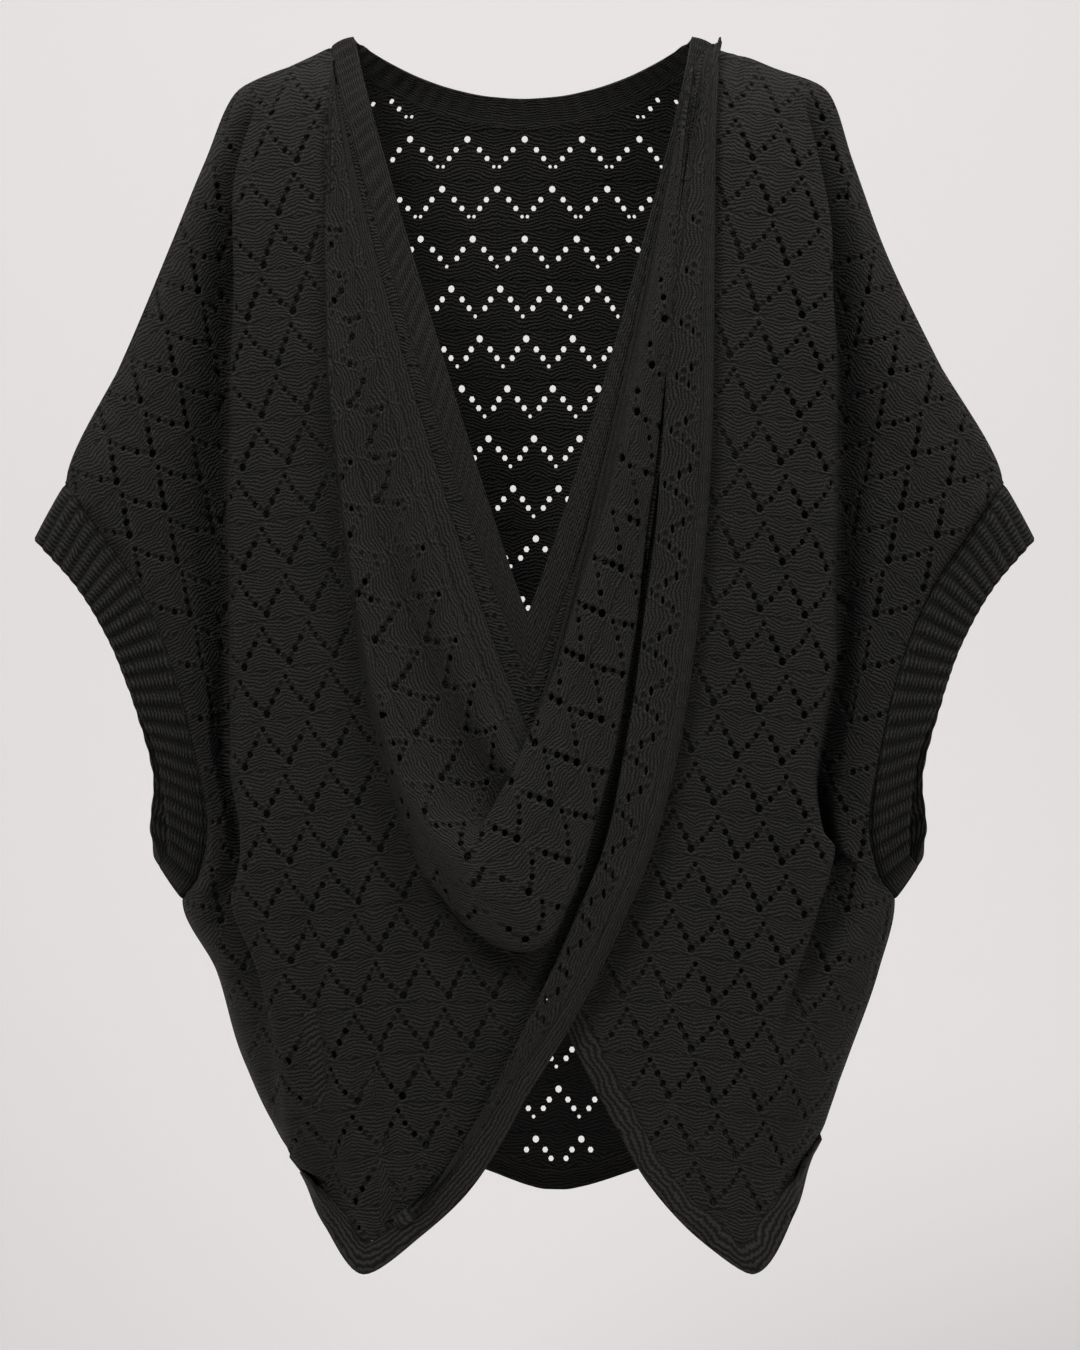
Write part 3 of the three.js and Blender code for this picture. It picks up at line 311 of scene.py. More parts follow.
def body_spot(across, row):
    width, centre = lace_width(row)
    out = abs(across) * width
    if out > LACE_MIDDLE:
        out = LACE_MIDDLE + (abs(across) - LACE_MIDDLE / width) * LACE_WIDTH
    x = centre + math.copysign(out, across)
    return x, LACE_START[1] - row * LACE_ROW - LACE_SINK * max(abs(x) - LACE_MIDDLE, 0)


def lace_on_sleeve(place):
    out, rise = np.abs(place[..., 0]) - SLEEVE_LINE, place[..., 1] - LACE_START[1]
    c, s = math.cos(SLEEVE_TURN), math.sin(SLEEVE_TURN)
    return np.stack([(out * c - rise * s) / LACE_WIDTH, (-out * s - rise * c) / LACE_ROW], axis=-1)


def sleeve_spot(across, row):
    c, s = math.cos(SLEEVE_TURN), math.sin(SLEEVE_TURN)
    out = across * LACE_WIDTH * c - row * LACE_ROW * s
    return SLEEVE_LINE + out, LACE_START[1] - across * LACE_WIDTH * s - row * LACE_ROW * c


def lace_spots(repeat, start, lean):
    """Every eyelet of one layer on the front view, as x, z and size."""
    spots = []
    for row in range(-4, 26):
        for k in range(-14, 19):
            for across, down, size in repeat:
                at, level = k + (row % 2) / 2 + start[0], row + down + start[1]
                x, z = body_spot(at + lean * across, level)
                if abs(x) < SLEEVE_LINE:
                    spots.append((x, z, size))
                x, z = sleeve_spot(at + across, level)
                if x > SLEEVE_LINE:
                    spots.extend([(x, z, size), (-x, z, size)])
    return np.array(spots)


def body_lace(corners, start, lean):
    """Places in the lace of the corners of triangles, counted from a peak of the layer's own."""
    place = facing(corners)
    on_sleeve = np.abs(place[..., 0]).mean(axis=1) > SLEEVE_LINE
    body, sleeve = lace_on_body(place) - start, lace_on_sleeve(place) - start
    body[..., 0] *= lean
    return np.where(on_sleeve[:, None, None], sleeve, body)


def body_eyelets(cloth, b_lines, a_lines, spots):
    """The eyelets that fall on a stretch of cloth, as down, across and size."""
    bb, aa = np.meshgrid(b_lines, a_lines, indexing="ij")
    bb, aa = bb.ravel(), aa.ravel()
    view = facing(lay(cloth, bb, aa)[0])
    low, high = view.min(axis=0), view.max(axis=0)
    spots = spots[((spots[:, :2] > low) & (spots[:, :2] < high)).all(axis=1)]
    tree = KDTree(len(bb))
    for k, (x, z) in enumerate(view):
        tree.insert((x, z, 0), k)
    tree.balance()
    near = np.array([tree.find((x, z, 0))[1] for x, z, _ in spots])
    b, a = bb[near].copy(), aa[near].copy()
    for _ in range(8):
        point, _, down, across = lay(cloth, b, a)
        dx, dz = (spots[:, :2] - facing(point)).T
        det = down[:, 0] * across[:, 2] - across[:, 0] * down[:, 2]
        det = np.where(np.abs(det) < 1e-6, 1e-6, det)
        step_b = np.clip((dx * across[:, 2] - dz * across[:, 0]) / det, -6, 6)
        step_a = np.clip((dz * down[:, 0] - dx * down[:, 2]) / det, -6, 6)
        b = np.clip(b + step_b, b_lines[0], b_lines[-1])
        a = np.clip(a + step_a, a_lines[0], a_lines[-1])
    missed = np.linalg.norm(facing(lay(cloth, b, a)[0]) - spots[:, :2], axis=1)
    return np.column_stack([b, a, spots[:, 2]])[missed < 0.25]


def clear_eyelets(cloth, eyelets, rim):
    """Eyelets that keep clear of a stretch's rim and of each other, the largest first."""
    eyelets = eyelets[np.argsort(-eyelets[:, 2], kind="stable")]
    centre = lay(cloth, eyelets[:, 0], eyelets[:, 1])[0]
    edge = lay(cloth, rim[:, 0], rim[:, 1])[0]
    tree = KDTree(len(edge))
    for k, p in enumerate(edge):
        tree.insert(p, k)
    tree.balance()
    kept = []
    for k, p in enumerate(centre):
        if tree.find(p)[2] < eyelets[k, 2] / 2 + 3.2:
            continue
        gap = np.linalg.norm(centre[kept] - p, axis=1) if kept else np.array([1e9])
        if kept and (gap < (eyelets[kept, 2] + eyelets[k, 2]) / 2 + 0.8).any():
            continue
        kept.append(k)
    return eyelets[kept]


EYELET_LIMIT = 22


def stretch(cloth, b_lines, a_lines, eyelets, wide=0.47, tall=0.54):
    """One stretch of lace as (b, a) points and triangles, open at its eyelets."""
    nb, na = len(b_lines), len(a_lines)
    bb, aa = np.meshgrid(b_lines, a_lines, indexing="ij")
    lattice = np.column_stack([bb.ravel(), aa.ravel()])
    index = np.arange(nb * na).reshape(nb, na)
    rim = np.r_[index[0, :], index[1:, -1], index[-1, -2::-1], index[-2:0:-1, 0]]
    if not len(eyelets):
        quads = np.stack([index[:-1, :-1], index[1:, :-1], index[1:, 1:], index[:-1, 1:]], -1).reshape(-1, 4)
        return lattice, np.vstack([quads[:, [0, 1, 2]], quads[:, [0, 2, 3]]])
    eyelets = clear_eyelets(cloth, eyelets, lattice[rim])
    centre, normal, down, across = lay(cloth, eyelets[:, 0], eyelets[:, 1])
    side = np.cross(np.array([0, 0, 1.0]), normal)
    side /= np.maximum(np.linalg.norm(side, axis=1, keepdims=True), 1e-6)
    up = np.cross(normal, side)
    gram = np.array([(down * down).sum(1), (down * across).sum(1), (across * across).sum(1)])
    det = gram[0] * gram[2] - gram[1] ** 2
    holes, counts, whole = [], np.where(eyelets[:, 2] > 4.95, 8, 6), []
    for k, (b, a, size) in enumerate(eyelets):
        turn = 2 * math.pi * np.arange(counts[k]) / counts[k]
        step = np.outer(np.cos(turn) * size * wide, side[k]) + np.outer(np.sin(turn) * size * tall, up[k])
        on_down, on_across = step @ down[k], step @ across[k]
        db = (gram[2, k] * on_down - gram[1, k] * on_across) / det[k]
        da = (gram[0, k] * on_across - gram[1, k] * on_down) / det[k]
        hole = np.column_stack([b + db, a + da])
        within = (hole > (b_lines[0], a_lines[0])) & (hole < (b_lines[-1], a_lines[-1]))
        if within.all() and np.ptp(hole, axis=0).max() < EYELET_LIMIT:
            holes.append(hole)
            whole.append(k)
    eyelets, centre, counts = eyelets[whole], centre[whole], counts[whole]
    tree = KDTree(len(centre))
    for k, p in enumerate(centre):
        tree.insert(p, k)
    tree.balance()
    inner = index[1:-1, 1:-1].ravel()
    place = lay(cloth, lattice[inner, 0], lattice[inner, 1])[0]
    keep = []
    for k, p in zip(inner, place):
        _, which, gap = tree.find(p)
        if gap > eyelets[which, 2] / 2 + 0.9:
            keep.append(k)
    points = np.vstack([lattice[rim], lattice[keep], *holes])
    owner = np.r_[np.full(len(rim) + len(keep), -1), np.repeat(np.arange(len(eyelets)), counts)]
    edges = [(k, (k + 1) % len(rim)) for k in range(len(rim))]
    start = len(rim) + len(keep)
    for count in counts:
        edges.extend((int(start + k), int(start + (k + 1) % count)) for k in range(count))
        start += count
    out = delaunay_2d_cdt([Vector(p) for p in points], edges, [], 0, 1e-7)
    verts, faces = np.array([tuple(v) for v in out[0]]), np.array(out[2])
    hole = np.array([owner[list(source)].max() if source else -1 for source in out[3]])[faces]
    faces = faces[(hole[:, 0] < 0) | (hole[:, 0] != hole[:, 1]) | (hole[:, 0] != hole[:, 2])]
    p, q, r = (verts[faces[:, k]] for k in range(3))
    turned = (q[:, 0] - p[:, 0]) * (r[:, 1] - p[:, 1]) - (r[:, 0] - p[:, 0]) * (q[:, 1] - p[:, 1])
    faces[turned < 0] = faces[turned < 0][:, ::-1]
    return verts, faces


def groove(gap):
    """How far cloth sinks at a distance from a sewn seam."""
    return 1.1 * np.exp(-((gap / 2.2) ** 2))


def thick_mesh(name, points, normals, faces, uv, wall, material):
    """A closed wall of cloth from its outer points. Shared points of its stretches are joined."""
    key = np.round(points, 3)
    _, first, where = np.unique(key, axis=0, return_index=True, return_inverse=True)
    where = where.ravel()
    corner_uv = uv if np.ndim(uv) == 3 else uv[faces]
    faces = where[faces]
    whole = (faces[:, 0] != faces[:, 1]) & (faces[:, 1] != faces[:, 2]) & (faces[:, 0] != faces[:, 2])
    faces, corner_uv = faces[whole], corner_uv[whole]
    points, normals = points[first], normals[first]
    wall = wall[first] if np.ndim(wall) else wall
    n = len(points)
    edges = np.vstack([faces[:, [0, 1]], faces[:, [1, 2]], faces[:, [2, 0]]])
    edge_uv = np.vstack([corner_uv[:, [0, 1]], corner_uv[:, [1, 2]], corner_uv[:, [2, 0]]])
    sorted_edges = np.sort(edges, axis=1)
    codes = sorted_edges[:, 0].astype(np.int64) * n + sorted_edges[:, 1]
    _, at, counts = np.unique(codes, return_inverse=True, return_counts=True)
    rim = counts[at.ravel()] == 1
    i, j = edges[rim, 0], edges[rim, 1]
    ui, uj = edge_uv[rim, 0], edge_uv[rim, 1]
    triangles = np.vstack([
        faces, faces[:, ::-1] + n, np.column_stack([j, i, i + n]), np.column_stack([j, i + n, j + n]),
    ])
    loops_uv = np.concatenate([
        corner_uv, corner_uv[:, ::-1], np.stack([uj, ui, ui], 1), np.stack([uj, ui, uj], 1),
    ])
    verts = np.vstack([points, points - normals * np.reshape(wall, (-1, 1))]) * MM
    mesh = bpy.data.meshes.new(name)
    mesh.vertices.add(len(verts))
    mesh.vertices.foreach_set("co", verts.astype(np.float32).ravel())
    mesh.loops.add(len(triangles) * 3)
    mesh.loops.foreach_set("vertex_index", triangles.astype(np.int32).ravel())
    mesh.polygons.add(len(triangles))
    mesh.polygons.foreach_set("loop_start", np.arange(0, len(triangles) * 3, 3, dtype=np.int32))
    mesh.update(calc_edges=True)
    mesh.polygons.foreach_set("use_smooth", np.ones(len(triangles), dtype=bool))
    layer = mesh.uv_layers.new(name="knit")
    layer.data.foreach_set("uv", loops_uv.astype(np.float32).ravel())
    mesh.validate()
    mesh.materials.append(material)
    piece = bpy.data.objects.new(name, mesh)
    bpy.context.scene.collection.objects.link(piece)
    return piece


# Knit as a shading effect: two legs to a stitch, courses that bend over the zigzags, a tight
# course between the rows, and on the fronts raised rims and the finest holes between eyelets.
# All are bumps, and are also painted into the colour: painted shade between the stitches, along
# the row line, in the rib grooves and in the finest holes, and painted highlight on the stitch
# tops and eyelet rims, with random unevenness.
knit_group = bpy.data.node_groups.new("knit_stitch", "ShaderNodeTree")
knit_group.interface.new_socket("Place", in_out="INPUT", socket_type="NodeSocketVector")
for socket in ("Stitches", "Courses", "Bend", "Row line", "Fuzz", "Eyelets", "Ribs"):
    knit_group.interface.new_socket(socket, in_out="INPUT", socket_type="NodeSocketFloat")
for socket in ("Height", "Painted shade and tone"):
    knit_group.interface.new_socket(socket, in_out="OUTPUT", socket_type="NodeSocketFloat")
knit_in = knit_group.nodes.new("NodeGroupInput")
knit_out = knit_group.nodes.new("NodeGroupOutput")


def knit_math(operation, *values):
    """A Math node of the knit group, fed by sockets or numbers; its result."""
    node = knit_group.nodes.new("ShaderNodeMath")
    node.operation = operation
    for k, value in enumerate(values):
        if isinstance(value, (int, float)):
            node.inputs[k].default_value = value
        else:
            knit_group.links.new(value, node.inputs[k])
    return node.outputs[0]


def knit_noise(scale, detail):
    """Noise over the cloth, centred on nought."""
    node = knit_group.nodes.new("ShaderNodeTexNoise")
    node.inputs["Scale"].default_value = scale
    node.inputs["Detail"].default_value = detail
    knit_group.links.new(knit_in.outputs["Place"], node.inputs["Vector"])
    return knit_math("SUBTRACT", node.outputs["Fac"], 0.5)


ROW_GAP = 0.16
FINE_HOLE = 1.7
RIM_WIDTH = 1.3
RIBS_PER_ROW = 3.6
split = knit_group.nodes.new("ShaderNodeSeparateXYZ")
knit_group.links.new(knit_in.outputs["Place"], split.inputs[0])
across, down = split.outputs[0], split.outputs[1]
drift = knit_math("MULTIPLY", knit_noise(2.6, 3.0), 0.2)
lace_row = knit_math("ADD", down, ROW_GAP)
odd_row = knit_math("FLOORED_MODULO", knit_math("FLOOR", lace_row), 2.0)
from_peak = knit_math("PINGPONG", knit_math("MULTIPLY_ADD", odd_row, 0.5, across), 0.5)
bend = knit_math("MULTIPLY", from_peak, knit_in.outputs["Bend"])
in_repeat = knit_math("FRACT", knit_math("MULTIPLY_ADD", odd_row, 0.5, across))
rims, finer = 0.0, 0.0
for k, (eyelet_across, eyelet_down, size) in enumerate(front_repeat):
    after = front_repeat[(k + 1) % len(front_repeat)]
    between = ((eyelet_across + after[0] + (k == 5)) / 2, (eyelet_down + after[1]) / 2)
    for at_across, at_down, radius in ((eyelet_across, eyelet_down, size / 2), (*between, FINE_HOLE)):
        off_across = knit_math("PINGPONG", knit_math("SUBTRACT", in_repeat, at_across), 0.5)
        off_down = knit_math("PINGPONG", knit_math("SUBTRACT", down, at_down), 0.5)
        across_squared = knit_math("POWER", knit_math("MULTIPLY", off_across, LACE_WIDTH), 2.0)
        down_squared = knit_math("POWER", knit_math("MULTIPLY", off_down, LACE_ROW), 2.0)
        far = knit_math("SQRT", knit_math("ADD", across_squared, down_squared))
        off_rim = knit_math("ABSOLUTE", knit_math("SUBTRACT", far, radius + RIM_WIDTH))
        rims = knit_math("MAXIMUM", knit_math("SUBTRACT", 1.0, knit_math("DIVIDE", off_rim, RIM_WIDTH)), rims)
        if radius == FINE_HOLE:
            pit = knit_math("SUBTRACT", 1.4, knit_math("DIVIDE", far, FINE_HOLE))
            finer = knit_math("MAXIMUM", pit, finer)
course_at = knit_math("ADD", knit_math("SUBTRACT", down, bend), drift)
stitch_at = knit_math("MULTIPLY", knit_math("ADD", across, drift), knit_in.outputs["Stitches"])
leg = knit_math("PINGPONG", stitch_at, 0.5)
slant = knit_math("MULTIPLY", leg, 0.4)
course = knit_math("SUBTRACT", knit_math("MULTIPLY", course_at, knit_in.outputs["Courses"]), slant)
wave = knit_math("COSINE", knit_math("MULTIPLY", course, 2 * math.pi))
ridge = knit_math("MULTIPLY_ADD", wave, 0.5, 0.5)
off_leg = knit_math("SUBTRACT", knit_math("MULTIPLY", leg, 4.0), 1.0)
off_leg_squared = knit_math("POWER", knit_math("ABSOLUTE", off_leg), 2.0)
leg_round = knit_math("SQRT", knit_math("MAXIMUM", knit_math("SUBTRACT", 1.0, off_leg_squared), 0.02))
stitch = knit_math("MULTIPLY", ridge, knit_math("MULTIPLY_ADD", leg_round, 0.5, 0.5))
line = knit_math("SUBTRACT", 1.0, knit_math("DIVIDE", knit_math("PINGPONG", lace_row, 0.5), 0.035))
row_line = knit_math("MULTIPLY", knit_math("MAXIMUM", line, 0.0), knit_in.outputs["Row line"])
rib_wave = knit_math("COSINE", knit_math("MULTIPLY", across, 2 * math.pi * RIBS_PER_ROW))
between_ribs = knit_math("POWER", knit_math("MULTIPLY_ADD", rib_wave, 0.5, 0.5), 1.5)
rib_gap = knit_math("MULTIPLY", between_ribs, knit_in.outputs["Ribs"])
pits = knit_math("MULTIPLY", knit_math("MINIMUM", finer, 1.0), knit_in.outputs["Eyelets"])
raised = knit_math("MULTIPLY", rims, knit_in.outputs["Eyelets"])
fuzz = knit_math("MULTIPLY", knit_noise(60.0, 4.0), knit_in.outputs["Fuzz"])
hollows = knit_math("ADD", knit_math("ADD", row_line, rib_gap), knit_math("MULTIPLY", pits, 1.6))
height = knit_math("SUBTRACT", knit_math("ADD", knit_math("ADD", stitch, fuzz), raised), hollows)
# Painted highlight: the stitch tops and the eyelet rims are lighter in the colour.
lit_stitch = knit_math("ADD", knit_math("MULTIPLY_ADD", stitch, 1.2, -0.02), fuzz)
lit_stitches_and_rims = knit_math("ADD", lit_stitch, knit_math("MULTIPLY", raised, 0.3))
# Painted shade: the colour darkens along the row line, in the rib grooves and in the finest holes.
painted_shade_and_fuzz = knit_math("SUBTRACT", lit_stitches_and_rims, hollows)
knit_group.links.new(height, knit_out.inputs["Height"])
uneven_painted_shade = knit_math("ADD", painted_shade_and_fuzz, knit_math("MULTIPLY", knit_noise(0.9, 3.0), 0.35))
knit_group.links.new(uneven_painted_shade, knit_out.inputs["Painted shade and tone"])


def knit_material(name, dark, light, stitches, courses, bend, row_line, relief, eyelets=0.0, ribs=0.0):
    """Matt wool yarn, knitted: painted shade between the stitches and painted highlight on their tops, with a
    soft bloom at grazing angles.
    """
    material = bpy.data.materials.new(name)
    material.use_nodes = True
    tree = material.node_tree
    shader = tree.nodes["Principled BSDF"]
    place = tree.nodes.new("ShaderNodeUVMap")
    place.uv_map = "knit"
    knit = tree.nodes.new("ShaderNodeGroup")
    knit.node_tree = knit_group
    knit.inputs["Stitches"].default_value = stitches
    knit.inputs["Courses"].default_value = courses
    knit.inputs["Bend"].default_value = bend
    knit.inputs["Row line"].default_value = row_line
    knit.inputs["Fuzz"].default_value = 0.45
    knit.inputs["Eyelets"].default_value = eyelets
    knit.inputs["Ribs"].default_value = ribs
    tree.links.new(place.outputs[0], knit.inputs["Place"])
    # The colour runs from the yarn in painted shade to the yarn in painted light by the knit's painted shade.
    yarn = tree.nodes.new("ShaderNodeMix")
    yarn.data_type = "RGBA"
    yarn.inputs["A"].default_value = (*dark, 1)
    yarn.inputs["B"].default_value = (*light, 1)
    tree.links.new(knit.outputs["Painted shade and tone"], yarn.inputs["Factor"])
    tree.links.new(yarn.outputs["Result"], shader.inputs["Base Color"])
    bump = tree.nodes.new("ShaderNodeBump")
    bump.inputs["Distance"].default_value = relief
    bump.inputs["Strength"].default_value = 1.0
    tree.links.new(knit.outputs["Height"], bump.inputs["Height"])
    tree.links.new(bump.outputs[0], shader.inputs["Normal"])
    shader.inputs["Roughness"].default_value = 0.85
    shader.inputs["Specular IOR Level"].default_value = 0.16
    shader.inputs["Sheen Weight"].default_value = 0.05
    shader.inputs["Sheen Roughness"].default_value = 0.4
    shader.inputs["Sheen Tint"].default_value = (0.42, 0.4, 0.37, 1)
    return material


# One yarn as two colours: painted shade between the stitches and painted light on their tops.
YARN_IN_PAINTED_SHADE = (0.0008, 0.00075, 0.0007)
YARN_IN_PAINTED_LIGHT = (0.019, 0.0179, 0.0163)
lace_yarn = knit_material("lace_knit", YARN_IN_PAINTED_SHADE, YARN_IN_PAINTED_LIGHT, 10, 14, 0.25, 0.6, 0.0018)
front_yarn = knit_material(
    "front_lace_knit", YARN_IN_PAINTED_SHADE, YARN_IN_PAINTED_LIGHT, 10, 14, 0.25, 0.6, 0.0018, eyelets=1.0,
)


def back_neck_place(part, share):
    across = 2 * part - 1
    dip = (1 - across * across) * mix(*BACK_NECK_DIP, share)
    left = mix(neck_edge["left"], neck_seam["left"], share)
    right = mix(neck_edge["right"], neck_seam["right"], share)
    return mix(left, right, part), mix(neck_edge["top"], neck_seam["top"], share) - dip


top_stations = [("left", t) for t in reversed(ridge_turns + [CUFF_TOP])]
top_stations += [(None, part) for part in back_neck_parts]
top_stations += [("right", t) for t in ridge_turns + [CUFF_TOP]]
BACK_LAST = len(top_stations) - 1


def back_top(k):
    side, at = top_stations[k]
    if side:
        return outline_at(side, at)[[0, 2]]
    x, z = back_neck_place(at, 1)
    return np.array([x, z - NECK_DRAW])


def back_bottom(u, share):
    part = 0.02 + 0.96 * u
    x, z = read(back_hem, "part", part, "x"), read(back_hem, "part", part, "z")
    return np.array([x, z + HEM_BAND * (1 - share)])


def back_point(k, turn):
    u, v = k / BACK_LAST, (turn - CUFF_TOP) / (80 - CUFF_TOP)
    left, right = outline_at("left", turn), outline_at("right", turn)
    if k in (0, BACK_LAST):
        end = left if k == 0 else right
        return np.array([end[0], max(end[1], SEAM_HALF), end[2]])
    corners = [back_top(0), back_top(BACK_LAST), outline_at("left", 80)[[0, 2]], outline_at("right", 80)[[0, 2]]]
    x, z = (
        mix(back_top(k), back_bottom(u, 0), v) + mix(left[[0, 2]], right[[0, 2]], u)
        - mix(mix(corners[0], corners[1], u), mix(corners[2], corners[3], u), v)
    )
    if v == 0 and top_stations[k][0]:
        return np.array([x, SEAM_HALF, z])
    return cloth_point("back", x, z, float(smooth(190, 240, abs(x))) * arm_share(z))


back_turns = armhole_turns + side_turns
back_grid = [[back_point(k, turn) for k in range(BACK_LAST + 1)] for turn in back_turns]
for share in (0.5, 1):
    line = []
    for k in range(BACK_LAST + 1):
        if 0 < k < BACK_LAST:
            x, z = back_bottom(k / BACK_LAST, share)
            line.append(cloth_point("back", x, z, 0, BAND_CROWN if share == 0.5 else 0))
        else:
            side = "left" if k == 0 else "right"
            x, z = mix(outline_at(side, 80)[[0, 2]], np.array(side_hems[side]), share)
            line.append(np.array([x, SEAM_HALF, z]))
    back_grid.append(line)
back_cloth = make_cloth(back_grid, flip=True)
BACK_SEAM_ROW = len(back_turns) - 1

b_lines = stations(back_cloth, 0, 0, BACK_SEAM_ROW, PANEL_STITCH)
a_lines = stations(back_cloth, 1, 0, BACK_LAST, PANEL_STITCH)
back_spots = lace_spots(back_repeat, PLAIN_START, 1)
place, faces = stretch(back_cloth, b_lines, a_lines, body_eyelets(back_cloth, b_lines, a_lines, back_spots))
points, normals, _, _ = lay(back_cloth, place[:, 0], place[:, 1])
faces = faces[:, ::-1]
lace_uv = body_lace(points[faces], PLAIN_START, 1)
sink = groove(place[:, 0]) * (np.abs(points[:, 0]) < 140) + groove(b_lines[-1] - place[:, 0])
points = points - normals * sink[:, None]
points[:, 1] = np.maximum(points[:, 1], SEAM_HALF)
back_piece = thick_mesh("back_panel_lace", points, normals, faces, lace_uv, WALL, lace_yarn)
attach(back_piece, "root")
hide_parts("back_panel")

# Right front
# A lace panel like the back, from the V neck to the cuff on the viewer's right. It lies under
# the other front, and its lower edge runs up to the far shoulder.
hem_edges = {
    "left": {
        "turn": [80, 84, 88, 93, 98, 103, 108, 115, 124, 133, 143, 153, 163, 171, 177],
        "x": [-168, -146, -119, -78, -43, 0, 30, 58, 84, 103, 117, 124, 126, 128, 132],
        "z": [-822, -855, -886, -858, -824, -752, -702, -645, -580, -500, -390, -285, -180, -90, -12],
        "band": [16, 17, 23, 17, 17, 14, 12, 11, 11, 11, 10, 9, 9, 8, 7],
        "strip": [20, 22, 30, 26, 27, 28, 33, 35, 36, 37, 38, 35, 29, 20, 16],
    },
    "right": {
        "turn": [80, 84, 88, 94, 101, 109, 117, 125, 133, 143, 153, 163, 171, 177],
        "x": [203, 185, 155, 120, 84, 55, 27, -2, -34, -66, -92, -122, -142, -153],
        "z": [-811, -847, -887, -863, -826, -775, -721, -657, -549, -433, -318, -200, -98, -40],
        "band": [16, 17, 23, 17, 17, 17, 17, 16, 14, 11, 8, 8, 8, 6],
        "strip": [20, 22, 30, 26, 26, 26, 26, 26, 26, 26, 20, 14, 10, 8],
    },
}
hem_turns = [84, 88, 93, 98, 103, 108, 115, 124, 133, 143, 153, 162, 168, 171, 174, 177]
front_turns = ridge_turns + armhole_turns + side_turns + hem_turns
HEM_START = front_turns.index(80)
LAST_ROW = len(front_turns) - 1
VALLEY_INSET = 9
VALLEY_SINK = 26


def fold_point(fold, turn, top=None):
    """A point of a U-shaped fold line, at a turn from 0 at the left neck to 180 at the right."""
    down = abs(math.sin(math.radians(turn))) ** 0.9
    left = turn < 90
    bow = fold["left_bow"] if left else fold["right_bow"]
    reach = fold["left" if left else "right"] - fold["bottom_x"]
    top = fold["top"] if top is None else top
    return np.array([
        fold["bottom_x"] + reach * max(1 - down ** bow, 0) ** (1 / bow), mix(top, fold["bottom_z"], down),
    ])


def hem_at(side, turn):
    """The lower edge of a front, the seam of its band, and the width of the fold above it."""
    rows = hem_edges[side]

    def spot(at):
        return np.array([read(rows, "turn", at, "x"), read(rows, "turn", at, "z")])

    edge = spot(turn)
    run = spot(min(turn + 1, 177)) - spot(max(turn - 1, 80))
    run /= np.linalg.norm(run)
    sign = 1 if side == "left" else -1
    inward = np.array([-sign * run[1], sign * run[0]])
    return edge, edge + inward * read(rows, "turn", turn, "band"), read(rows, "turn", turn, "strip")


def valley_sink(z):
    """How far the sleeve tucks in behind the crest of the body's side."""
    return -VALLEY_SINK * float(smooth(-39, -130, z) * (1 - smooth(-600, -740, z)))


def outer_places(side, turn, start, names):
    """Places along a front's row between its inner line and its edge."""
    edge = outline_at(side, turn)[[0, 2]] if turn <= 80 else hem_at(side, turn)[1]
    sign = -1 if side == "left" else 1
    reach = sign * (edge[0] - start[0])
    crest = min(max((SHOULDER_CREST - sign * start[0]) / max(reach, 1), 0.3), 0.8)
    valley = min(crest + VALLEY_INSET / np.linalg.norm(edge - start), 0.86)
    plain = {
        "chest1": crest * 0.35, "chest2": crest * 0.7, "crest": crest, "valley": valley,
        "arm1": mix(valley, 1, 0.4), "arm2": mix(valley, 1, 0.75), "near": mix(valley, 1, 0.93), "outer": 1,
    }
    places = [mix(start, edge, plain[name]) for name in names]
    share = float(smooth(84, 98, turn))
    if share == 0 or side == "right":
        return places
    hem, _, width = hem_at(side, turn)
    fold = np.array([hem[0] - width, hem[1]])
    strip = {
        "chest1": mix(start, fold, 0.3), "chest2": mix(start, fold, 0.6),
        "crest": mix(start, fold, 0.85) + [1, 0], "valley": fold + [3, 0], "arm1": fold,
        "arm2": mix(fold, edge, 0.35), "outer": edge,
    }
    return [mix(place, strip[name], share) for place, name in zip(places, names)]


def edge_point(side, turn):
    x, y, z = outline_at(side, turn)
    return np.array([x, -max(y, SEAM_HALF), z])


def hem_band_points(side, turn, row, seam_lift=0.0, edge_lift=0.0):
    """The middle and the edge of a lower edge band; above the side corner the row just ends."""
    if turn < 80:
        beyond = row[-1] - row[-2]
        return [row[-1] + beyond * 0.1, row[-1] + beyond * 0.2]
    hem, seam, _ = hem_at(side, turn)
    return [
        cloth_point("front", *mix(seam, hem, share), 0, mix(seam_lift, edge_lift, share) + crown)
        for share, crown in ((0.5, BAND_CROWN), (1, 0))
    ]


right_names = ["chest1", "chest2", "crest", "valley", "arm1", "arm2", "near", "outer"]
arm_names = ["valley", "arm1", "arm2", "near", "outer"]
RIGHT_OUTER = len(right_names)
swapped_seam = dict(
    neck_seam, left=neck_seam["right"], right=neck_seam["left"],
    left_bow=neck_seam["right_bow"], right_bow=neck_seam["left_bow"],
)
neck_end_turns = [3 * j / len(right_names) for j in range(len(right_names))]


def right_row(turn):
    inner = fold_point(swapped_seam, turn)
    if turn == 3:
        along = [fold_point(swapped_seam, at) for at in reversed(neck_end_turns)]
    else:
        along = outer_places("right", turn, inner, right_names)
    row = []
    for name, place in zip(["inner"] + right_names, [inner] + along):
        if place[1] == neck_seam["top"]:
            row.append(np.array([place[0], -SEAM_HALF, place[1]]))
        elif name == "outer" and turn <= 80:
            row.append(edge_point("right", turn))
        else:
            arm = arm_share(place[1]) if turn < 90 and name in arm_names else 0
            lift = valley_sink(place[1]) if name == "valley" and turn <= 80 else 0
            row.append(cloth_point("front", *place, arm, lift))
    return row + hem_band_points("right", turn, row)


right_cloth = make_cloth([right_row(turn) for turn in front_turns], flip=False)


def unevenness(points):
    """The slight waviness of knitted cloth that hangs."""
    x, z = points[:, 0], points[:, 2]
    return 0.7 * np.sin(x / 19 + z / 57) + 0.6 * np.sin(x / 31 - z / 43) + 0.4 * np.sin(z / 17 + x / 71)


def front_side(points):
    points[:, 1] = np.minimum(points[:, 1], -SEAM_HALF)
    return points


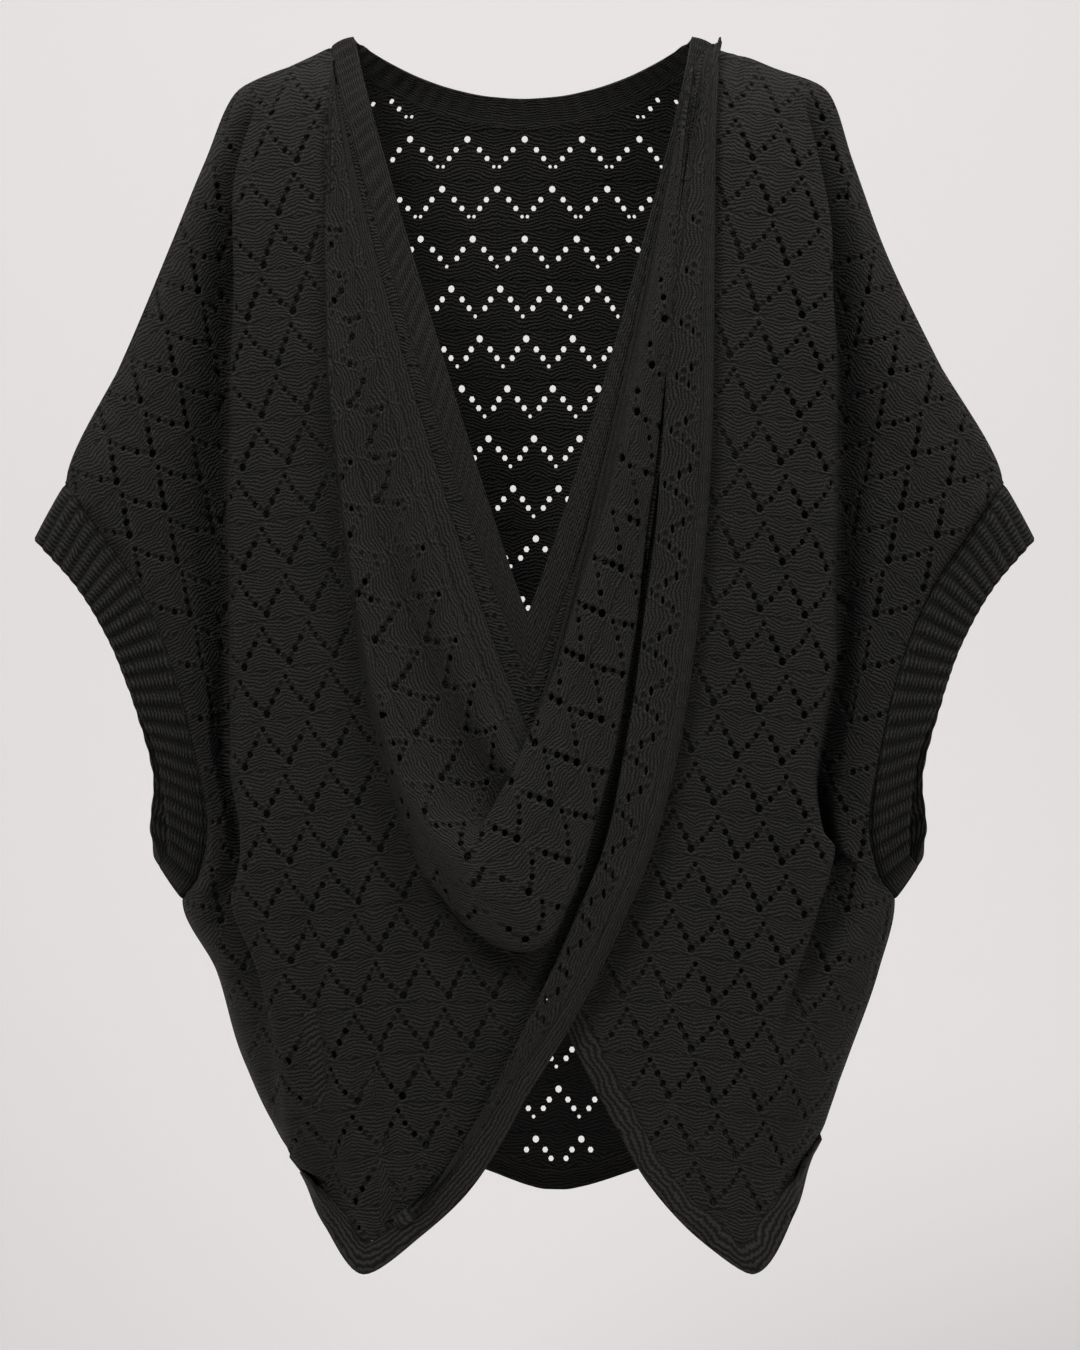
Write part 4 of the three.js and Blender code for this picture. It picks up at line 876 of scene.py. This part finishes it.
b_lines = stations(right_cloth, 0, 0, LAST_ROW, PANEL_STITCH)
a_lines = stations(right_cloth, 1, 0, RIGHT_OUTER, PANEL_STITCH)
right_spots = lace_spots(front_repeat, FRONT_START, 1)
place, faces = stretch(right_cloth, b_lines, a_lines, body_eyelets(right_cloth, b_lines, a_lines, right_spots))
points, normals, _, _ = lay(right_cloth, place[:, 0], place[:, 1])
lace_uv = body_lace(points[faces], FRONT_START, 1)
inset = np.minimum(place[:, 1], a_lines[-1] - place[:, 1])
lift = unevenness(points) * np.clip(inset / 20, 0, 1) - groove(inset)
points = front_side(points + normals * lift[:, None])
right_piece = thick_mesh("right_front_lace", points, normals, faces, lace_uv, WALL, front_yarn)
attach(right_piece, "root")
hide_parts("right_front")

# Left front
# The lace panel on top. It hangs from the shoulder on the viewer's left in the rolls of a
# cowl, turns under them, and crosses to the other shoulder as a strip folded over its edge.
cowl_folds = {
    "edge": dict(left=-147, right=112, bottom_x=-2, bottom_z=-503, left_bow=1.12, right_bow=1.1),
    "seam": dict(left=-147, right=112, bottom_x=-4, bottom_z=-518, left_bow=1.22, right_bow=1.12),
    "roll": dict(left=-147, right=112, bottom_x=-6, bottom_z=-534, left_bow=1.4, right_bow=1.14),
    "trough": dict(left=-147, right=113, bottom_x=-16, bottom_z=-555, left_bow=1.5, right_bow=1.18),
    "ridge": dict(left=-147, right=115, bottom_x=-45, bottom_z=-585, left_bow=2, right_bow=1.3),
    "face": dict(left=-147, right=116, bottom_x=-20, bottom_z=-621, left_bow=2.2, right_bow=1.3),
    "low": dict(left=-146, right=104, bottom_x=1, bottom_z=-657, left_bow=2.4, right_bow=1.65),
}
COWL_TOP = -9
COWL_CENTRE = np.array([-5, -300])
lift_turns = [3, 30, 72, 91, 110, 140, 177]
lifts = {
    "edge": [5.5, 6, 7, 8, 7, 6, 10], "seam": [5.5, 10, 17, 21, 12, 7.5, 10],
    "roll": [5.5, 15, 28, 33, 20, 10, 10], "trough": [5.5, 14, 12, 12, 17, 14, 10],
    "ridge": [5.5, 28, 44, 50, 36, 19, 10], "face": [5.5, 25, 47, 56, 50, 29, 10],
    "low": [5.5, 16, 34, 44, 38, 21, 10], "tuck": [5.5, 9, 13, 16, 13, 10, 10],
    "under": [5.5, 8, 11, 12, 9.5, 9, 10], "chest1": [5.5, 5, 7, 10, 9, 9, 10],
    "chest2": [5, 2, 4, 8, 9, 9, 10], "crest": [2, 0, 2, 7, 9, 9, 10],
    "valley": [1, 0, 1, 6, 10, 10, 10], "arm1": [0, 0, 0, 6, 28, 21, 10],
    "arm2": [0, 0, 0, 5, 33, 26, 10], "outer": [0, 0, 0, 4, 31, 25, 10],
    "band": [0, 0, 0, 4, 17, 15, 10],
}
left_names = [name for name in lifts if name != "band"]
gathered = {"left": ((-139, -47), (-146.5, -10)), "right": ((108, -44), (125, -14))}
UNDER_REACH = 3
LEFT_START = 3.8
LIMB_REPEAT = 38.0
LIMB_START = 0.4
STRETCHED_EYELET = (0.3, 0.72)
SEAM_COLUMN, UNDER_COLUMN, VALLEY_COLUMN = 2, 9, 13
COWL_ROUNDING = 3
LEFT_STITCH = 5.5
LEFT_TOP = -5.0
LEFT_OUTER = len(left_names)
STRIP_ROW = front_turns.index(93)


def lift_at(name, turn):
    return float(np.interp(turn, lift_turns, lifts[name]))


def left_row(turn):
    places = [fold_point(fold, turn, COWL_TOP) for fold in cowl_folds.values()]
    low = places[-1]
    inward = (COWL_CENTRE - low) / np.linalg.norm(COWL_CENTRE - low)
    tuck = np.interp(turn, [12, 40, 90, 130], [3, 15, 17, 5])
    places += [low + inward * tuck, low - inward * UNDER_REACH]
    places += outer_places("left", turn, places[-1], left_names[9:])
    near, far = gathered["left" if turn < 90 else "right"]
    free = float(smooth(2, 14, min(turn, 180 - turn)))
    row = []
    for j, (name, place) in enumerate(zip(left_names, places)):
        shoulder = mix(np.array(near, float), np.array(far, float), j / (len(places) - 1))
        x, z = mix(shoulder, place, free)
        if name == "outer" and turn <= 80:
            row.append(edge_point("left", max(turn, LEFT_START)))
            continue
        arm = arm_share(z) if turn < 90 and name in arm_names else 0
        sink = valley_sink(z) if name == "valley" and turn <= 80 else 0
        row.append(cloth_point("front", x, z, arm, lift_at(name, turn) + sink))
    bands = hem_band_points("left", turn, row, lift_at("outer", turn), lift_at("band", turn))
    return [row[0], (row[0] + row[1]) / 2] + row[1:] + bands


left_grid = np.array([left_row(turn) for turn in front_turns])
first_round, last_round = front_turns.index(69), front_turns.index(115)
for _ in range(COWL_ROUNDING):
    rounded = (left_grid[:-2] + 2 * left_grid[1:-1] + left_grid[2:]) / 4
    rounded = rounded[first_round - 1:last_round - 1, :UNDER_COLUMN - 1]
    left_grid[first_round:last_round, :UNDER_COLUMN - 1] = rounded
left_cloth = make_cloth(left_grid, flip=True)


def limb_lace(cloth, b_lines, a_lines):
    """The lace of a stretch whose rows follow the limb: its eyelets, and a map of its places."""
    bb, aa = np.meshgrid(b_lines, a_lines, indexing="ij")
    points = lay(cloth, bb, aa)[0]
    width = np.zeros(bb.shape)
    width[:, 1:] = np.cumsum(np.linalg.norm(np.diff(points, axis=1), axis=2), axis=1)
    middle = points[:, points.shape[1] // 2]
    length = np.r_[0, np.cumsum(np.linalg.norm(np.diff(middle, axis=0), axis=1))]

    def width_row(b):
        k = np.clip(np.searchsorted(b_lines, b) - 1, 0, len(b_lines) - 2)
        t = (b - b_lines[k]) / (b_lines[k + 1] - b_lines[k])
        return mix(width[k], width[k + 1], t)

    def lace_place(place):
        across = np.array([np.interp(a, a_lines, width_row(b)) for b, a in place])
        along = np.interp(place[:, 0], b_lines, length)
        return np.column_stack([along / LIMB_REPEAT, across / LACE_ROW - LIMB_START])

    spots = []
    for row in range(int(width.max() / LACE_ROW) + 2):
        for k in range(int(length[-1] / LIMB_REPEAT) + 1):
            for across, down, size in front_repeat:
                b = np.interp((k + (row % 2) / 2 + across) * LIMB_REPEAT, length, b_lines)
                widths = width_row(b)
                at = (row + LIMB_START + down) * LACE_ROW
                if at < widths[-1]:
                    spots.append((b, np.interp(at, widths, a_lines), size))
    spots = np.array(spots)
    view = facing(lay(cloth, spots[:, 0], spots[:, 1])[0])
    gap = np.linalg.norm(view[:, None] - back_spots[None, :, :2], axis=2) - back_spots[:, 2] / 2
    dark = (gap.min(axis=1) > spots[:, 2] / 2 - 0.4) | (view[:, 0] > 0)
    return spots[dark], lace_place


left_stretches = (
    ("cowl", 0, LAST_ROW, SEAM_COLUMN, UNDER_COLUMN), ("body", 0, STRIP_ROW, UNDER_COLUMN, LEFT_OUTER),
    ("under", STRIP_ROW, LAST_ROW, UNDER_COLUMN, VALLEY_COLUMN),
    ("strip", STRIP_ROW, LAST_ROW, VALLEY_COLUMN, LEFT_OUTER),
)
left_spots = lace_spots(front_repeat, FRONT_START, -1)
places, triangles, corner_places = [], [], []
for name, top, bottom, inner, outer in left_stretches:
    b_lines = stations(left_cloth, 0, top, bottom, LEFT_STITCH)
    a_lines = stations(left_cloth, 1, inner, outer, LEFT_STITCH)
    if name in ("cowl", "strip"):
        eyelets, lace_place = limb_lace(left_cloth, b_lines, a_lines)
        shape = (0.47, 0.54) if name == "cowl" else STRETCHED_EYELET
        place, faces = stretch(left_cloth, b_lines, a_lines, eyelets, *shape)
        corner_places.append(lace_place(place)[faces][:, ::-1])
    else:
        eyelets = body_eyelets(left_cloth, b_lines, a_lines, left_spots)
        place, faces = stretch(left_cloth, b_lines, a_lines, eyelets)
        corners = lay(left_cloth, place[:, 0], place[:, 1])[0][faces]
        corner_places.append(body_lace(corners, FRONT_START, -1)[:, ::-1])
    triangles.append(faces[:, ::-1] + sum(map(len, places)))
    places.append(place)
place, faces, lace_uv = np.vstack(places), np.vstack(triangles), np.vstack(corner_places)
points, normals, _, _ = lay(left_cloth, place[:, 0], place[:, 1])
seam_a, outer_a = left_cloth["across"][SEAM_COLUMN], left_cloth["across"][LEFT_OUTER]
inset = np.minimum(place[:, 1] - seam_a, outer_a - place[:, 1])
lower_left = smooth(-60, -95, points[:, 0]) * smooth(-200, -175, points[:, 0])
lower_left = smooth(-560, -640, points[:, 2]) * lower_left
hang = 3.6 * np.sin((points[:, 0] + 0.12 * points[:, 2]) / 6.2) * lower_left
lift = (unevenness(points) + hang) * np.clip(inset / 20, 0, 1) - groove(inset)
points = front_side(points + normals * lift[:, None])
points[:, 2] = np.minimum(points[:, 2], LEFT_TOP)
left_piece = thick_mesh("left_front_lace", points, normals, faces, lace_uv, WALL, front_yarn)
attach(left_piece, "root")
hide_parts("left_front")

# Neck band
# A narrow plain band round the V and the back neck, sewn on under tension, so that it puckers
# in short ridges across. Its two ends meet in a mitre at the point of the V.
BAND_STITCH = 2.4
PUCKER_PITCH = 12.0
band_yarn = knit_material("band_knit", YARN_IN_PAINTED_SHADE, YARN_IN_PAINTED_LIGHT, 12, 14, 0, 0, 0.0014)
neck_turns = neck_end_turns + [180 - t for t in reversed(front_turns)]
neck_turns = sorted(set(neck_turns + [90] + [180 - t for t in neck_end_turns]))
neck_grid = []
for turn in neck_turns:
    line = []
    for share in (0, 0.5, 1):
        x, z = mix(fold_point(neck_edge, turn), fold_point(neck_seam, turn), share)
        line.append(np.array([x, 0, z]) if turn in (0, 180) else cloth_point("front", x, z))
    neck_grid.append(line)
for part in reversed(back_neck_parts):
    neck_grid.append([cloth_point("back", *back_neck_place(part, share)) for share in (0, 0.5, 1)])
ring = neck_grid[-3:] + neck_grid + neck_grid[:4]
neck_cloth = make_cloth(ring, flip=True)


def band_piece(name, cloth, rows, cols, material, pucker, seams, ring=False):
    """A band of plain knit: a crowned strip that may pucker across, grooved along its seams."""
    b_lines = stations(cloth, 0, *rows, BAND_STITCH)
    a_lines = stations(cloth, 1, *cols, BAND_STITCH)
    place, faces = stretch(cloth, b_lines, a_lines, [])
    points, normals, _, _ = lay(cloth, place[:, 0], place[:, 1])
    share = (place[:, 1] - a_lines[0]) / (a_lines[-1] - a_lines[0])
    round_off = np.sin(np.pi * np.clip(share, 0, 1))
    wobble = 0.8 * np.sin(place[:, 0] / 23) + 0.5 * np.sin(place[:, 0] / 9.7)
    ends = np.clip((place[:, 0] - b_lines[0]) / 60, 0, 1) * np.clip((b_lines[-1] - place[:, 0]) / 60, 0, 1)
    calm = 1 if ring else ends
    lift = pucker * calm * np.sin(2 * np.pi * (place[:, 0] / PUCKER_PITCH + wobble * 0.25)) * round_off ** 0.6
    lift += 0.6 * round_off
    for seam in seams:
        lift -= groove(place[:, 1] - a_lines[0] if seam == "first" else a_lines[-1] - place[:, 1])
    points = points + normals * lift[:, None]
    if not ring:
        points[:, 2] = np.minimum(points[:, 2], LEFT_TOP)
    uv = np.column_stack([place[:, 0], place[:, 1]]) / 36
    piece = thick_mesh(name, points, normals, faces[:, ::-1] if cloth["flip"] else faces, uv, WALL, material)
    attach(piece, "root")
    return piece


neck_piece = band_piece(
    "neck_band_knit", neck_cloth, (3, 3 + len(neck_grid)), (0, 2), band_yarn, 1.3, ["last"], ring=True,
)
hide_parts("neck_band")

# Cowl band
# The left front's own neckline band: smooth, turned and stitched down, it rides on the cowl.
cowl_piece = band_piece(
    "cowl_band_knit", left_cloth, (0, LAST_ROW), (0, SEAM_COLUMN), band_yarn, 0.2, ["last"],
)
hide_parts("cowl_band")

# Hem bands
# Plain knit bands sewn along the lower edges of both fronts and the back's tail. They curl a
# little. A thin plain facing lies behind the tip of each front.
left_hem_piece = band_piece(
    "left_hem_band_knit", left_cloth, (HEM_START, LAST_ROW), (LEFT_OUTER, LEFT_OUTER + 2),
    band_yarn, 0.25, ["first"],
)
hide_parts("left_hem_band")
right_hem_piece = band_piece(
    "right_hem_band_knit", right_cloth, (HEM_START, LAST_ROW), (RIGHT_OUTER, RIGHT_OUTER + 2),
    band_yarn, 0.25, ["first"],
)
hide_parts("right_hem_band")
for side, cloth, first in (("left", left_cloth, 11), ("right", right_cloth, 2)):
    outer = LEFT_OUTER if side == "left" else RIGHT_OUTER
    b_lines = stations(cloth, 0, HEM_START - 1, front_turns.index(103), PANEL_STITCH)
    a_lines = stations(cloth, 1, first, outer, PANEL_STITCH)
    place, faces = stretch(cloth, b_lines, a_lines, [])
    points, normals, _, _ = lay(cloth, place[:, 0], place[:, 1])
    points = front_side(points - normals * (WALL + 0.8))
    facing_piece = thick_mesh(
        side + "_tip_facing", points, normals, faces[:, ::-1] if cloth["flip"] else faces,
        np.column_stack([place[:, 1], place[:, 0]]) / 36, 1.2, band_yarn,
    )
    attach(facing_piece, "root")
tail_cloth = make_cloth(np.array(back_grid)[BACK_SEAM_ROW - 2:].swapaxes(0, 1), flip=False)
tail_piece = band_piece("back_hem_band_knit", tail_cloth, (0, BACK_LAST), (2, 4), band_yarn, 0.25, ["first"])
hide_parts("back_hem_band")

# Cuffs
# Ribbed rings knitted on at the armholes. The ribs fan out over the arm and run together at
# the underarm; the ring is open where the wearer's arm comes out.
# Rib yarn: a lighter end for painted highlight on the ribs, and painted shade in the grooves between them.
rib_yarn = knit_material("rib_knit", YARN_IN_PAINTED_SHADE, (0.021, 0.0198, 0.018), 7.2, 14, 0, 0, 0.0016, ribs=0.8)
RIB_RISE = 2.6
RIB_STEPS = 10
CUFF_STEPS = 12
front_edges = {"left": (left_cloth, LEFT_OUTER), "right": (right_cloth, RIGHT_OUTER)}
for side, sign in (("left", -1), ("right", 1)):
    n = CUFF_RIBS * RIB_STEPS
    turn_round = 2 * np.arange(n + 1) / n
    turn_round[-1] = 0
    share = np.where(turn_round <= 1, turn_round, 2 - turn_round)
    turns = CUFF_TOP + share * (CUFF_END - CUFF_TOP)
    cloth, column = front_edges[side]
    front_at = np.interp(turns, front_turns, cloth["down"])
    on_front = lay(cloth, front_at, np.full(n + 1, cloth["across"][column]))[0]
    back_at = np.interp(turns, back_turns, back_cloth["down"][:len(back_turns)])
    back_column = 0 if side == "left" else BACK_LAST
    on_back = lay(back_cloth, back_at, np.full(n + 1, back_cloth["across"][back_column]))[0]
    is_front = (turn_round <= 1)[:, None]
    seam = np.where(is_front, on_front, on_back)
    give = 0 if side == "left" else mix(2, 8, share)
    ends = [
        np.column_stack([
            sign * (read(cuff_rows, "part", share, face + "_x") + give), seam[:, 1] * 0.94,
            read(cuff_rows, "part", share, face + "_z"),
        ]) for face in ("front", "back")
    ]
    edge = np.where(is_front, ends[0], ends[1])
    across = np.linspace(0, 1, CUFF_STEPS + 1)
    grid = seam[:, None] + (edge - seam)[:, None] * across[None, :, None]
    around = np.roll(grid[:-1], -1, axis=0) - np.roll(grid[:-1], 1, axis=0)
    around = np.vstack([around, around[:1]])
    normals = np.cross(around, np.gradient(grid, axis=1))
    normals /= np.maximum(np.linalg.norm(normals, axis=2, keepdims=True), 1e-9)
    if side == "left":
        normals = -normals
    middle = grid[:-1].reshape(-1, 3).mean(0)
    rib = (0.5 - 0.5 * np.cos(2 * np.pi * np.arange(n + 1) / RIB_STEPS)) ** 0.8 * RIB_RISE
    crown = 0.4 * np.sin(np.pi * across)[None, :]
    rise = rib[:, None] * smooth(0, 0.2, across)[None, :] + crown - groove(across * 33)[None, :]
    points = grid + normals * rise[..., None]
    index = np.arange((n + 1) * (CUFF_STEPS + 1)).reshape(n + 1, CUFF_STEPS + 1)
    quads = np.stack([index[:-1, :-1], index[1:, :-1], index[1:, 1:], index[:-1, 1:]], -1).reshape(-1, 4)
    faces = np.vstack([quads[:, [0, 1, 2]], quads[:, [0, 2, 3]]])
    if side == "left":
        faces = faces[:, ::-1]
    rib_place = np.arange(n + 1)[:, None] / RIB_STEPS / RIBS_PER_ROW
    uv = np.stack(np.broadcast_arrays(rib_place, across[None, :] * 33 / LACE_ROW), -1)
    cuff = thick_mesh(
        side + "_cuff_rib", points.reshape(-1, 3), normals.reshape(-1, 3), faces, uv.reshape(-1, 2),
        (WALL + 0.7 * rise).ravel(), rib_yarn,
    )
    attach(cuff, "root")
    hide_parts(side + "_cuff")

# Studio
# A plain pale floor that curves up into a backdrop, well below and behind the garment, with
# large soft lights and a long lens straight in front of it.
MM_PER_PIXEL = 0.72
FRAME_HEIGHT = 1350 * MM_PER_PIXEL * MM
VIEW_DISTANCE = SIGHT * MM
FLOOR_Z = -1.25
BACKDROP_Y = 2.2
COVE = 0.9
profile = [(-6.0, FLOOR_Z)]
profile += [
    (BACKDROP_Y - COVE + COVE * math.sin(t), FLOOR_Z + COVE - COVE * math.cos(t))
    for t in np.linspace(0, math.pi / 2, 17)
]
profile += [(BACKDROP_Y, 5.0)]
sweep = bpy.data.meshes.new("studio_floor")
sweep.from_pydata(
    [(x, y, z) for x in (-6.0, 6.0) for y, z in profile], [],
    [(k, k + len(profile), k + len(profile) + 1, k + 1) for k in range(len(profile) - 1)],
)
sweep.polygons.foreach_set("use_smooth", [True] * len(sweep.polygons))
floor_paint = bpy.data.materials.new("pale_floor")
floor_paint.use_nodes = True
floor_paint.node_tree.nodes["Principled BSDF"].inputs["Base Color"].default_value = (0.62, 0.6, 0.6, 1)
floor_paint.node_tree.nodes["Principled BSDF"].inputs["Roughness"].default_value = 0.9
sweep.materials.append(floor_paint)
floor = bpy.data.objects.new("studio_floor", sweep)
bpy.context.scene.collection.objects.link(floor)

world = bpy.data.worlds.new("studio_air")
world.use_nodes = True
world.node_tree.nodes["Background"].inputs[0].default_value = (1, 0.985, 0.98, 1)
world.node_tree.nodes["Background"].inputs[1].default_value = 0.12
bpy.context.scene.world = world


def soft_light(name, place, aim, size, power):
    """One large square softbox."""
    lamp = bpy.data.lights.new(name, "AREA")
    lamp.shape = "SQUARE"
    lamp.size = size
    lamp.energy = power
    holder = bpy.data.objects.new(name, lamp)
    holder.location = place
    holder.rotation_euler = (Vector(aim) - Vector(place)).to_track_quat("-Z", "Y").to_euler()
    bpy.context.scene.collection.objects.link(holder)


soft_light("key_softbox", (-1.3, -3.6, 2.3), (0, 0, -0.4), 1.3, 160)
soft_light("fill_softbox", (1.9, -3.5, 1.2), (0, 0, -0.45), 1.5, 75)
soft_light("backdrop_softbox", (0, 0.9, -0.3), (0, 2.2, -0.5), 2.6, 8)
soft_light("top_softbox", (0.2, -0.6, 2.6), (0, 0, -0.4), 1.6, 60)

camera = bpy.data.objects.new("camera", bpy.data.cameras.new("camera"))
camera.data.sensor_fit = "VERTICAL"
camera.data.sensor_height = 36
camera.data.lens = 36 * VIEW_DISTANCE / FRAME_HEIGHT
camera.location = (SIGHT_CENTRE[0] * MM, SIGHT_NEAR * MM - VIEW_DISTANCE, SIGHT_CENTRE[1] * MM)
camera.rotation_euler = (math.pi / 2, 0, 0)
bpy.context.scene.collection.objects.link(camera)
bpy.context.scene.camera = camera
bpy.context.scene.view_settings.view_transform = "Standard"
